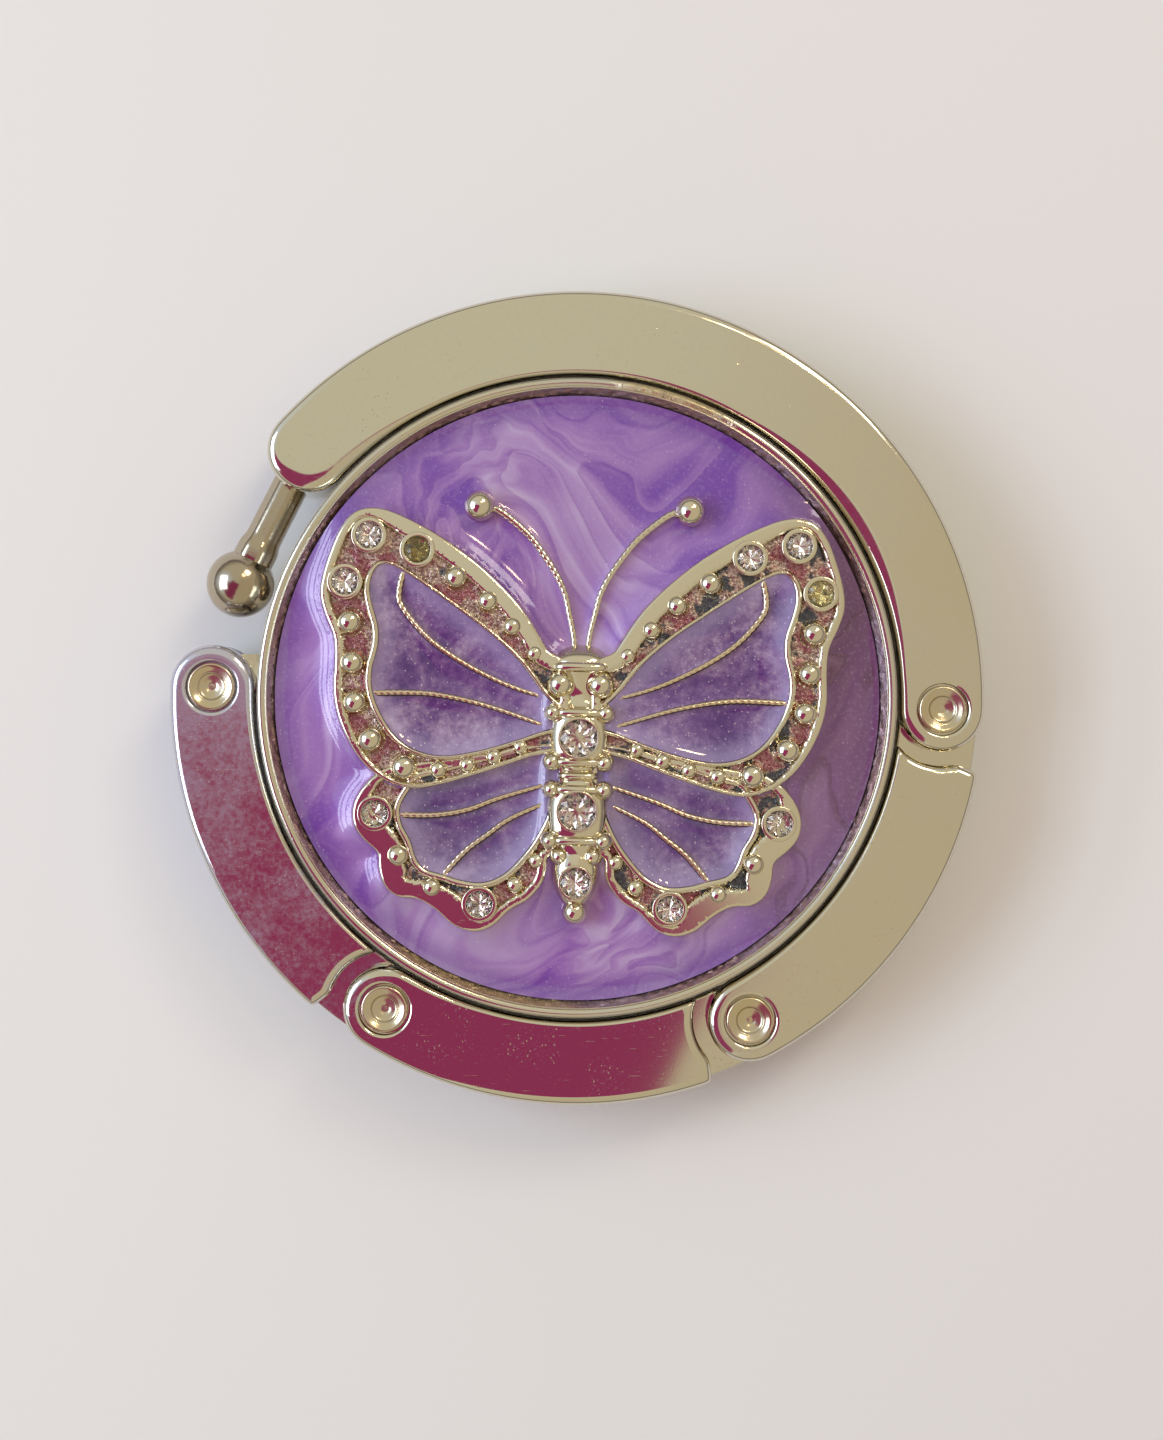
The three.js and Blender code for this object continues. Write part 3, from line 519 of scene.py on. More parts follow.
for vert in wall_mesh.verts:
    if tray_low.z + 0.01 * mm < vert.co.z < lip_top - 0.1 * mm:
        vert.co += Vector(grit.uniform(-wall_grit, wall_grit, 3)) * mm
wall_faces = bpy.data.meshes.new("wall_faces")
wall_mesh.to_mesh(wall_faces)
wall_mesh.free()
tray_mesh.from_mesh(wall_faces)
bpy.data.meshes.remove(wall_faces)
lip_plate = plate_finish("lip_plate", nickel_tone, 0.16, pits=0.2, cast=0.05)
tray = new_piece("tray_rim", tray_mesh, [lip_plate, rough_plate], "disc")
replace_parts(tray, "medallion_tray")


# The butterfly's plan: the outlines of one side's wings, in shares of the wing's reach from the
# middle. A curve runs through each edge's points, and straight lines close it inside the body.
wing_margin = 2.4 * mm
enamel_clearance = 0.08 * mm
wing_reach = enamel_radius + enamel_clearance - wing_margin
butterfly_middle = Vector((0.17 * mm, 0))
butterfly_turn = math.radians(-1.5)
outline_spacing = 0.16 * mm
wire_steps = 14
body_half_width = 1.72 * mm
body_ends = (0.12, -0.70)
hands = {"right": 1, "left": -1}

upper_edge = [
    (0.125, 0.174), (0.233, 0.34), (0.382, 0.486), (0.535, 0.594), (0.681, 0.67), (0.785, 0.703),
    (0.868, 0.691), (0.924, 0.632), (0.965, 0.535), (0.993, 0.438), (0.999, 0.361), (0.976, 0.285),
    (0.944, 0.208), (0.938, 0.118), (0.941, 0.014), (0.924, -0.083), (0.882, -0.181), (0.819, -0.271),
    (0.729, -0.337), (0.625, -0.362), (0.507, -0.34), (0.333, -0.285), (0.181, -0.229),
]
upper_edge_root = [(0.042, -0.201), (0.042, 0.139)]
upper_cell = [
    (0.072, -0.052), (0.142, 0.014), (0.236, 0.132), (0.347, 0.233), (0.486, 0.333), (0.625, 0.427),
    (0.722, 0.483), (0.774, 0.487), (0.802, 0.448), (0.811, 0.396), (0.799, 0.333), (0.774, 0.25),
    (0.774, 0.174), (0.793, 0.097), (0.792, 0.014), (0.76, -0.073), (0.701, -0.16), (0.625, -0.212),
    (0.521, -0.233), (0.389, -0.212), (0.25, -0.17), (0.146, -0.132), (0.072, -0.112),
]
lower_edge = [
    (0.111, -0.611), (0.118, -0.694), (0.174, -0.771), (0.247, -0.816), (0.306, -0.875), (0.375, -0.903),
    (0.458, -0.882), (0.535, -0.819), (0.604, -0.783), (0.674, -0.778), (0.729, -0.736), (0.752, -0.667),
    (0.757, -0.611), (0.812, -0.562), (0.851, -0.507), (0.856, -0.438), (0.83, -0.375), (0.785, -0.319),
]
lower_edge_root = [(0.722, -0.278), (0.153, -0.184), (0.042, -0.167), (0.042, -0.583)]
lower_cell = [
    (0.106, -0.42), (0.122, -0.47), (0.16, -0.545), (0.208, -0.611), (0.271, -0.677), (0.347, -0.712),
    (0.431, -0.708), (0.507, -0.686), (0.576, -0.667), (0.611, -0.625), (0.632, -0.562), (0.667, -0.5),
    (0.677, -0.444), (0.66, -0.399), (0.635, -0.361),
]
lower_cell_root = [(0.625, -0.33), (0.514, -0.299), (0.347, -0.25), (0.16, -0.191), (0.072, -0.185),
                   (0.072, -0.40)]
upper_veins = [
    [(0.682, 0.476), (0.7, 0.39), (0.688, 0.33), (0.608, 0.233), (0.514, 0.16), (0.389, 0.09),
     (0.25, 0.031), (0.055, -0.024)],
    [(0.8, -0.003), (0.681, 0.002), (0.569, 0), (0.451, -0.018), (0.312, -0.052), (0.055, -0.136)],
]
lower_veins = [
    [(0.69, -0.465), (0.542, -0.462), (0.417, -0.438), (0.292, -0.389), (0.04, -0.31)],
    [(0.506, -0.69), (0.424, -0.597), (0.34, -0.531), (0.243, -0.462), (0.04, -0.37)],
]
antenna = [
    (0.403, 0.724), (0.337, 0.715), (0.271, 0.67), (0.205, 0.611), (0.153, 0.545), (0.104, 0.472),
    (0.069, 0.399), (0.049, 0.319), (0.031, 0.236), (0.024, 0.153),
]


def in_plan(shares, side):
    """Points of the butterfly's plan in metres, on the right (1) or the left (-1)."""
    across = np.array(shares, float) * (side * wing_reach, wing_reach)
    turned = np.array([
        [math.cos(butterfly_turn), math.sin(butterfly_turn)],
        [-math.sin(butterfly_turn), math.cos(butterfly_turn)],
    ])
    return across @ turned + np.array(butterfly_middle)


def plan_point(across, along, side=1):
    """One point of the butterfly's plan."""
    return in_plan([(across, along)], side)[0]


def curve_through(points, per_span):
    """A smooth curve through points, with a number of steps between each pair."""
    made = []
    last = len(points) - 1
    for index in range(last):
        p0, p1, p2, p3 = (points[min(max(index + k, 0), last)] for k in (-1, 0, 1, 2))
        for step in range(per_span):
            t = step / per_span
            made.append(0.5 * (
                2 * p1 + (p2 - p0) * t + (2 * p0 - 5 * p1 + 4 * p2 - p3) * t ** 2
                + (3 * p1 - p0 - 3 * p2 + p3) * t ** 3
            ))
    made.append(points[last])
    return np.array(made)


def eased(values, rounds):
    """Values round a closed outline, each drawn a number of times towards its two neighbours."""
    for _ in range(rounds):
        values = (np.roll(values, 1, axis=0) + values * 2 + np.roll(values, -1, axis=0)) / 4
    return values


def evened(points, spacing, eases=2):
    """A closed outline with even steps along it and with its corners eased, anticlockwise."""
    closed = np.vstack([points, points[:1]])
    walked = np.concatenate([[0], np.cumsum(np.linalg.norm(np.diff(closed, axis=0), axis=1))])
    at = np.linspace(0, walked[-1], int(walked[-1] / spacing) + 1)[:-1]
    made = eased(np.stack([np.interp(at, walked, closed[:, k]) for k in (0, 1)], axis=1), eases)
    after = np.roll(made, -1, axis=0)
    area = np.sum(made[:, 0] * after[:, 1] - made[:, 1] * after[:, 0])
    return made if area > 0 else made[::-1]


def closed_outline(curve_shares, root_shares, side):
    """A closed outline: a curve through some points and straight lines through others."""
    points = curve_through(in_plan(curve_shares, side), 8)
    if root_shares:
        points = np.vstack([points, in_plan(root_shares, side)])
    return evened(points, outline_spacing)


wing_plans = {
    (part, hand): (
        closed_outline(edge, edge_root, side), closed_outline(cell, cell_root, side),
        [curve_through(in_plan(vein, side), wire_steps) for vein in veins],
    )
    for hand, side in hands.items()
    for part, edge, edge_root, cell, cell_root, veins in (
        ("upper", upper_edge, upper_edge_root, upper_cell, [], upper_veins),
        ("lower", lower_edge, lower_edge_root, lower_cell, lower_cell_root, lower_veins),
    )
}
body_sides = [
    in_plan([(side * body_half_width / wing_reach, end) for end in body_ends], 1) for side in (1, -1)
]
antenna_plans = {
    hand: curve_through(in_plan(antenna, side), wire_steps) for hand, side in hands.items()
}


# Enamel field: pearl enamel poured round the butterfly. It is glossy, marbled where two purples
# were stirred together, and it climbs a little up everything that it touches.
def nearest_on(points, line, closed):
    """How far each point is from a line of points, and the number of the nearest step of it."""
    start = line if closed else line[:-1]
    end = np.roll(line, -1, axis=0) if closed else line[1:]
    along = end - start
    length = np.maximum((along ** 2).sum(axis=1), 1e-18)
    nearest = np.full(len(points), np.inf)
    number = np.zeros(len(points), int)
    for index, (a, d, l) in enumerate(zip(start, along, length)):
        t = np.clip(((points - a) @ d) / l, 0, 1)
        gap = points - a - t[:, None] * d
        square = np.einsum("ij,ij->i", gap, gap)
        closer = square < nearest
        nearest[closer] = square[closer]
        number[closer] = index
    return np.sqrt(nearest), number


def distance_to(points, line, closed):
    return nearest_on(points, line, closed)[0]


def inside(points, outline):
    """Whether each point lies inside a closed outline."""
    within = np.zeros(len(points), bool)
    for a, b in zip(outline, np.roll(outline, -1, axis=0)):
        if a[1] == b[1]:
            continue
        crosses = (a[1] > points[:, 1]) != (b[1] > points[:, 1])
        at = (b[0] - a[0]) * (points[:, 1] - a[1]) / (b[1] - a[1]) + a[0]
        within ^= crosses & (points[:, 0] < at)
    return within


def scattered(outline, holes, spacing, keep_off):
    """Evenly spaced points inside an outline and outside its holes, away from their edges."""
    low = outline.min(axis=0)
    high = outline.max(axis=0)
    row_share = 0.866
    rows = np.arange(low[1], high[1], spacing * row_share)
    grid = np.array([
        (x + (row % 2) * spacing / 2, y)
        for row, y in enumerate(rows) for x in np.arange(low[0], high[0], spacing)
    ])
    grid = grid[inside(grid, outline)]
    grid = grid[distance_to(grid, outline, True) > keep_off]
    for hole in holes:
        grid = grid[~inside(grid, hole)]
        grid = grid[distance_to(grid, hole, True) > keep_off]
    return grid


def sheet(outline, holes, points):
    """Triangles through points inside an outline, less its holes."""
    loops = [outline, *holes]
    edges = []
    for loop in loops:
        first = len(edges)
        edges += [(first + i, first + (i + 1) % len(loop)) for i in range(len(loop))]
    everything = np.vstack([*loops, points]) if len(points) else np.vstack(loops)
    tolerance = 1e-8
    made = delaunay_2d_cdt([Vector(p) for p in everything], edges, [], 0, tolerance)
    places = np.array([tuple(v) for v in made[0]])
    triangles = np.array(made[2])
    middles = places[triangles].mean(axis=1)
    keep = inside(middles, outline)
    for hole in holes:
        keep &= ~inside(middles, hole)
    return places, triangles[keep]


def raise_sheet(bm, places, triangles, heights, indices=None, upward=True):
    """A sheet added to a mesh at its heights, facing up or down."""
    corners = [bm.verts.new((x, y, z)) for (x, y), z in zip(places, heights)]
    for number, triangle in enumerate(triangles):
        a, b, c = (corners[i] for i in triangle)
        face = bm.faces.new((a, b, c) if upward else (a, c, b))
        if indices is not None:
            face.material_index = int(indices[number])


def poured(name, outline, spacing, level, material, climbs):
    """A poured surface that climbs what it meets: each climb is a line, closed or not, with how
    high it goes and how far out it dies away."""
    places, triangles = sheet(outline, [], scattered(outline, [], spacing, spacing * 0.4))
    height = np.zeros(len(places))
    for line, closed, rise, reach in climbs:
        height = height + rise ** 3 * np.exp(-distance_to(places, line, closed) * 3 / reach)
    height = np.cbrt(height)
    bm = bmesh.new()
    raise_sheet(bm, places, triangles, level + height)
    return new_piece(name, bm, material, "disc", sharp=80)


def moved_by(tree, place, push, amount):
    """A place pushed about by a colour noise, as one liquid drags another."""
    centred = tree.vectors("SUBTRACT", {0: push, 1: (0.5, 0.5, 0.5)})
    return tree.vectors("ADD", {0: place, 1: tree.vectors("SCALE", {0: centred, "Scale": amount})})


def in_rings(tree, place, round_scale, radial_scale):
    """A place as its direction from the axis and its distance, so that grain runs in rings."""
    unit = tree.vectors("NORMALIZE", {0: place})
    return tree.node("ShaderNodeCombineXYZ", {}, {
        "X": tree.axis(unit, "X") * round_scale,
        "Y": tree.axis(unit, "Y") * round_scale,
        "Z": tree.vectors("LENGTH", {0: place}, "Value") * radial_scale,
    })


def glints(tree, place, per_mm, size, softness, share):
    """Small bright flakes: spots of a size, of which only those over a share are there."""
    chosen = tree.node("ShaderNodeSeparateColor", {}, {0: spots(tree, place, per_mm, "Color")}, "Red")
    near = 1 - spots(tree, place, per_mm).above(size, softness)
    return near * chosen.above(*share)


def marbled_finish():
    """Two purples stirred together, with fine pearl in them, under a hard clear gloss."""
    material, tree, shader = finish(
        "marbled_enamel", Coat_Weight=1.0, Coat_Roughness=0.07, Coat_IOR=1.55, IOR=1.5,
        Specular_IOR_Level=0.3,
    )
    place = place_in_mm(tree)
    across = tree.axis(place, "X")
    stirred = moved_by(tree, place, noise(tree, place, 0.085, 0.0, 0.4, output="Color"), 24.0)
    curled = moved_by(tree, stirred, noise(tree, stirred, 0.20, 1.0, 0.4, output="Color"), 6.0)
    patches = noise(tree, curled, 0.075, 2.0, 0.45)
    streams = noise(tree, in_rings(tree, curled, 1.2, 0.19), 1.0, 1.0, 0.4)
    waves = tree.node("ShaderNodeMath", {"operation": "FRACT"}, {0: streams * 7.0})
    folds = waves * (1 - waves.above(0.92, 0.07))
    where = noise(tree, place, 0.12, 2.0).above(0.46, 0.12)
    soft = noise(tree, place, 0.16, 3.0, 0.55)
    fine = noise(tree, in_rings(tree, curled, 2.2, 0.9), 1.0, 2.0, 0.5)
    tone = patches * 0.95 + soft * 0.40 + fine * 0.75 + folds * (0.04 + where * 0.15) - 0.63
    # Painted sheen: the tone lightens towards the left, on the window's side. It also lightens towards -Y.
    tone = tone - tree.axis(place, "Y") * 0.0065 - across * 0.007
    colour = tree.node(
        "ShaderNodeValToRGB",
        {"stops": [
            (0.24, (0.165, 0.045, 0.400)), (0.40, (0.270, 0.122, 0.465)), (0.54, (0.355, 0.195, 0.530)),
            (0.68, (0.430, 0.278, 0.598)), (0.86, (0.550, 0.430, 0.715)),
        ]},
        {"Fac": tone},
    )
    shade = waves.above(0.90, 0.05) * (1 - waves.above(0.985, 0.015))
    colour = tree.mix(shade * where * 0.18, colour, (0.150, 0.050, 0.300, 1))
    mauve = (across + soft * 8).above(16, 5)
    from_middle = tree.vectors("LENGTH", {0: place}, "Value")
    rim_shade = (from_middle + soft * 1.2).above(17.35, 0.60)
    colour = tree.mix(rim_shade * 0.48, colour, (0.120, 0.040, 0.300, 1))
    colour = tree.mix(mauve * 0.75, colour, (0.150, 0.056, 0.092, 1))
    colour = tree.mix(shade * mauve * 0.45, colour, (0.070, 0.020, 0.030, 1))
    pearl = noise(tree, place, 5.0, 4.0, 0.7)
    colour = tree.mix(pearl.above(0.60, 0.10) * 0.16, colour, (0.60, 0.50, 0.72, 1))
    flakes = glints(tree, place, 4.2, 0.14, 0.06, (0.90, 0.02))
    tree.fill(shader.inputs["Base Color"], tree.mix(flakes * 0.45, colour, (0.80, 0.74, 0.84, 1)))
    tree.fill(shader.inputs["Metallic"], 0.05 + tone * 0.20)
    tree.fill(shader.inputs["Roughness"], 0.46 - pearl * 0.12)
    bump(tree, shader, noise(tree, place, 0.35, 2.0) + pearl * 0.02, 2 * fine_relief, strength=0.5)
    return material


field_spacing = 0.24 * mm
rim_climb = (0.12 * mm, 0.30 * mm)
wing_climb = (0.66 * mm, 0.85 * mm)
antenna_climb = (0.24 * mm, 0.42 * mm)
antenna_ball_climb = (0.30 * mm, 0.9 * mm)
rim_line = np.array([
    (enamel_radius * math.cos(math.tau * step / 480), enamel_radius * math.sin(math.tau * step / 480))
    for step in range(480)
])
climbs = [(rim_line, True, *rim_climb)]
climbs += [(plan[0], True, *wing_climb) for plan in wing_plans.values()]
climbs += [(line, False, *antenna_climb) for line in antenna_plans.values()]
climbs += [(line[:1].repeat(2, axis=0), False, *antenna_ball_climb) for line in antenna_plans.values()]
field = poured(
    "marbled_field", rim_line, field_spacing, enamel_top, marbled_finish(), climbs,
)
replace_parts(field, "enamel_field")


# Wings: part of one zinc casting, plated, and polished on its high edges. A flat border runs
# round each wing and a thin one round its cell, and the channel between them is left rough.
wing_heights = {"upper": 1.25 * mm, "lower": 0.98 * mm}
channel_depth = 0.42 * mm
channel_wall = 0.05 * mm
channel_grit = 0.05 * mm
channel_margin = 0.12 * mm
outer_border = 0.50 * mm
inner_border = 0.38 * mm
leading_band = 0.48 * mm
outer_lobe_band = 0.95 * mm
trailing_thinning = 0.26 * mm
raggedness = 0.05 * mm
edge_rounding = 0.16 * mm
least_gap = 0.012 * mm
wing_spacing, wing_keep_off = 0.17 * mm, 0.16 * mm
wing_foot, cell_foot = -0.1 * mm, 0.3 * mm

bright_plate = plate_finish("bright_plate", (0.74, 0.68, 0.53), 0.09, pits=0.1, film=0.03)


def channel_finish():
    """Plate that the polishing wheel never reached: lumpy and brown, with painted reflections in patches,
    wine-coloured and dark slate-blue.
    """
    material, tree, shader = finish("channel_plate")
    place = place_in_mm(tree)
    lumps = noise(tree, place, 2.2, 4.0, 0.6)
    grains = noise(tree, place, 7.0, 3.0, 0.6)
    reflection_patches = noise(tree, place, 0.55, 3.0, 0.6)
    colour = tree.mix(grains.above(0.50, 0.14), (0.240, 0.145, 0.130, 1), (0.68, 0.56, 0.48, 1))
    # Painted reflection: wine-coloured patches.
    colour = tree.mix(reflection_patches.above(0.52, 0.04) * 0.62, colour, (0.28, 0.030, 0.085, 1))
    # Painted reflection: dark slate-blue patches, more of them towards the right and towards -Y.
    reflection_lean = tree.axis(place, "X") * 0.004 - tree.axis(place, "Y") * 0.005
    dark_reflection = 1 - reflection_patches.above(reflection_lean + 0.415, 0.02)
    colour = tree.mix(dark_reflection * 0.90, colour, (0.055, 0.075, 0.100, 1))
    tree.fill(shader.inputs["Base Color"], colour)
    tree.fill(shader.inputs["Metallic"], 0.82)
    tree.fill(shader.inputs["Roughness"], 0.12 + grains * 0.22)
    bump(tree, shader, lumps * 1.6 + grains * 0.7, 0.05 * mm)
    return material


channel_plate = channel_finish()


def outward(points):
    """The direction out of a closed anticlockwise outline at each of its points."""
    along = np.roll(points, -1, axis=0) - np.roll(points, 1, axis=0)
    normal = np.stack([along[:, 1], -along[:, 0]], axis=1)
    return normal / np.linalg.norm(normal, axis=1)[:, None]


def offset_points(outline, reaches):
    """Points at distances inwards from an outline, without those that come too near to it again."""
    out = outward(outline)
    made = []
    for reach in reaches:
        reach = np.broadcast_to(reach, len(outline))
        points = outline - out * reach[:, None]
        made.append(points[distance_to(points, outline, True) > np.abs(reach) * 0.985 - 0.004 * mm])
    return np.vstack(made)


def eased_drop(distance, rounding):
    """How far a rounded edge has dropped at a distance from its outline."""
    within = np.clip(1 - np.where(distance < 0.001 * mm, 0, distance) / rounding, 0, 1)
    return rounding * (1 - np.sqrt(np.maximum(0, 1 - within ** 2)))


def wall(bm, loop, tops, bottoms, inward=False):
    """An upright wall below a closed loop."""
    tops = np.broadcast_to(tops, len(loop))
    bottoms = np.broadcast_to(bottoms, len(loop))
    high = [bm.verts.new((*point, z)) for point, z in zip(loop, tops)]
    low = [bm.verts.new((*point, z)) for point, z in zip(loop, bottoms)]
    for i in range(len(loop)):
        j = (i + 1) % len(loop)
        corners = (low[i], low[j], high[j], high[i])
        bm.faces.new(corners[::-1] if inward else corners)


def border_height(distance, width, top, floor):
    """A flat border with two rounded edges, and a floor beyond it."""
    height = top - eased_drop(distance, edge_rounding) - eased_drop(width - distance, edge_rounding)
    beyond = np.clip((distance - width) / channel_wall, 0, 1)
    return np.where(distance > width, top - edge_rounding - (top - edge_rounding - floor) * beyond, height)


def wing_casting(part, hand):
    """One wing with an open cell: two flat borders, the rough channel between them, and walls."""
    side = hands[hand]
    edge, cell, _ = wing_plans[part, hand]
    top = enamel_top + wing_heights[part]
    floor = top - channel_depth
    out = outward(edge)
    ragged = np.random.RandomState(7).rand(len(edge))
    if part == "upper":
        facing = np.maximum(0, out[:, 1]) * np.maximum(0, -out[:, 0] * side)
        trailing = np.clip(-out[:, 1] * 1.8 - 0.8, 0, 1)
        widths = outer_border + np.minimum(1, facing * 2.4) * leading_band - trailing * trailing_thinning
    else:
        facing = np.clip((out[:, 0] * side * 0.90 - out[:, 1] * 0.44) * 2.2 - 0.9, 0, 1)
        widths = outer_border + facing * outer_lobe_band
    widths = eased(widths, 30) + ragged * raggedness
    curve = [edge_rounding * share for share in (0.1, 0.35, 1, 1.2)]
    outer = curve + [widths - d for d in curve[::-1]]
    near_edge = offset_points(edge, outer + [widths, widths + channel_wall, widths + channel_margin])
    upward = outward(cell)[:, 1] * (part == "upper")
    thinned = np.clip(upward * 2.0 - 0.8, 0, 1) * 0.55 + np.clip(-upward * 2.0 - 0.8, 0, 1) * 0.35
    inner_widths = eased(inner_border * (1 - thinned), 20)
    inner = curve + [inner_widths - d for d in curve[::-1]] + [inner_widths, inner_widths + channel_wall]
    near_cell = offset_points(cell, [-np.broadcast_to(d, len(cell)) for d in inner])
    near_edge = near_edge[inside(near_edge, edge) & ~inside(near_edge, cell)]
    near_cell = near_cell[inside(near_cell, edge) & ~inside(near_cell, cell)]
    near_edge = near_edge[distance_to(near_edge, cell, True) > least_gap]
    near_cell = near_cell[distance_to(near_cell, edge, True) > least_gap]
    spread = scattered(edge, [cell], wing_spacing, wing_keep_off)
    places, triangles = sheet(edge, [cell], np.vstack([near_edge, near_cell, spread]))
    to_edge, number = nearest_on(places, edge, True)
    to_cell, cell_number = nearest_on(places, cell, True)
    heights = np.maximum(
        border_height(to_edge, widths[number], top, floor),
        border_height(to_cell, inner_widths[cell_number], top, floor),
    )
    rough = np.random.RandomState(3).rand(len(places)) * channel_grit
    heights = heights + np.where(heights < floor + 0.02 * mm, rough, 0)
    low_faces = heights[triangles].mean(axis=1) < floor + channel_margin
    bm = bmesh.new()
    raise_sheet(bm, places, triangles, heights, low_faces)
    wall(bm, edge, top - edge_rounding, enamel_top + wing_foot)
    wall(bm, cell, top - edge_rounding, enamel_top + cell_foot, inward=True)
    return new_piece(
        f"wing_{part}_{hand}", bm, [bright_plate, channel_plate], "disc", sharp=50,
    )


for part, hand in wing_plans:
    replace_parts(wing_casting(part, hand), "butterfly")


# Channel beads: round grains cast in the wings' channels. Their polished tops stand above the
# borders, and they shrink towards the body.
bead_swell = 1.1
bead_sides = 32
upper_beads = [
    (0.485, 0.447, 0.046), (0.361, 0.36, 0.042), (0.265, 0.265, 0.038), (0.177, 0.165, 0.033),
    (0.885, 0.267, 0.049), (0.872, 0.113, 0.047), (0.858, -0.038, 0.047), (0.795, -0.179, 0.049),
    (0.664, -0.281, 0.05), (0.533, -0.287, 0.035), (0.422, -0.266, 0.033), (0.322, -0.233, 0.033),
    (0.222, -0.193, 0.031),
]
lower_beads = [
    (0.679, -0.618, 0.044), (0.547, -0.737, 0.038), (0.231, -0.72, 0.035), (0.151, -0.626, 0.033),
]


def ball_profile(radius, tall=1.0, steps=16):
    angles = [math.pi * step / steps - math.pi / 2 for step in range(steps + 1)]
    return [(max(0.0, radius * math.cos(a)), radius * tall * math.sin(a)) for a in angles]


def bead_profile(radius):
    """Half a ball on a flared foot."""
    foot = [(radius * 1.08, 0), (radius * 0.97, radius * 0.10), (radius * 0.88, radius * 0.26)]
    ball = radius * 0.86
    sweep = [math.pi / 2 * step / 12 for step in range(13)]
    return foot + [(ball * math.cos(a), radius * 0.36 + ball * 0.86 * math.sin(a)) for a in sweep]


for part, hand in wing_plans:
    bead_mesh = bmesh.new()
    floor = enamel_top + wing_heights[part] - channel_depth
    for across, along, share in upper_beads if part == "upper" else lower_beads:
        place = (*plan_point(across, along, hands[hand]), floor)
        turn(bead_mesh, bead_profile(share * wing_reach * bead_swell), bead_sides, place)
    new_piece(f"beads_{part}_{hand}", bead_mesh, bright_plate, "disc")


# Wing enamel: each cell holds a pool of clear purple enamel with fine glitter in it, laid over
# the plate. It climbs the cell's wall and the veins.
def glitter_finish(name, level):
    """Clear purple with glitter in it, paler where it climbs above the level that it was poured to: a painted
    sheen of its slopes catching light.
    """
    material, tree, shader = finish(
        name, Coat_Weight=1.0, Coat_Roughness=0.04, Coat_IOR=1.52, IOR=1.5,
        Specular_IOR_Level=0.3,
    )
    place = place_in_mm(tree)
    cloud = noise(tree, place, 0.34, 4.0, 0.6, 0.8)
    mottle = noise(tree, place, 2.4, 5.0, 0.75)
    sparks = noise(tree, place, 11.0, 3.0, 0.8)
    bright = glints(tree, place, 5.5, 0.20, 0.08, (0.74, 0.03))
    tone = cloud * 1.60 + mottle * 0.85 + sparks * 0.25 - 0.88
    colour = tree.node(
        "ShaderNodeValToRGB",
        {"stops": [
            (0.22, (0.070, 0.014, 0.160)), (0.42, (0.140, 0.052, 0.225)), (0.56, (0.230, 0.125, 0.295)),
            (0.72, (0.345, 0.240, 0.410)), (0.90, (0.500, 0.410, 0.590)),
        ]},
        {"Fac": tone},
    )
    low = 1 - tree.axis(place, "Y").above(-4, 1)
    colour = tree.mix(low * 0.30, colour, (0.120, 0.095, 0.215, 1))
    from_body = tree.node("ShaderNodeMath", {"operation": "ABSOLUTE"}, {0: tree.axis(place, "X")})
    colour = tree.mix((1 - from_body.above(5.5, 3.5)) * 0.30, colour, (0.250, 0.165, 0.430, 1))
    # Painted sheen: paler where the enamel climbs the walls and veins, as a slope catching light looks.
    climb_sheen = (tree.axis(place, "Z") - level / mm + mottle * 0.20).above(0.24, 0.12)
    colour = tree.mix(climb_sheen * 0.46, colour, (0.42, 0.36, 0.62, 1))
    tree.fill(shader.inputs["Base Color"], tree.mix(bright * 0.7, colour, (0.80, 0.74, 0.88, 1)))
    tree.fill(shader.inputs["Metallic"], 0.15 + bright * 0.4)
    tree.fill(shader.inputs["Roughness"], 0.46 - bright * 0.2)
    bump(tree, shader, mottle, fine_relief, strength=0.4)
    return material


fill_level = enamel_top + 0.72 * mm
lower_fill = 0.25 * mm
pool_spacing = 0.18 * mm
cell_climb = (0.38 * mm, 0.90 * mm)
vein_climb = (0.17 * mm, 0.30 * mm)
body_climb = (0.44 * mm, 0.55 * mm)
for (part, hand), (edge, cell, veins) in wing_plans.items():
    level = fill_level if part == "upper" else fill_level - lower_fill
    glitter = glitter_finish(f"glitter_{part}_{hand}", level)
    pool_climbs = [(cell, True, *cell_climb)]
    pool_climbs += [(vein, False, *vein_climb) for vein in veins]
    pool_climbs += [(line, False, *body_climb) for line in body_sides]
    pool = poured(f"pool_{part}_{hand}", cell, pool_spacing, level, glitter, pool_climbs)
    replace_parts(pool, f"wing_enamel_{part}_{hand}")


# Veins and antennae: fine notched wires in relief on the casting, worn to a warm gilt, which shows
# on their crests where painted shade darkens the veins' sides that face down. They thin out towards
# the body, and each antenna ends in a ball.
vein_plate = plate_finish("vein_plate", (0.76, 0.63, 0.44), 0.17, pits=0.2, cast=0.1, underside_shade=0.85)
vein_radius = 0.20 * mm
vein_lift = 0.20 * mm
antenna_radius, antenna_end_radius = 0.22 * mm, 0.17 * mm
antenna_lift = 0.27 * mm
antenna_ball_radius = 0.86 * mm
antenna_ball_sides = 36
notch_spacing = 0.36 * mm
wire_step = 0.05 * mm
wire_sides = 12


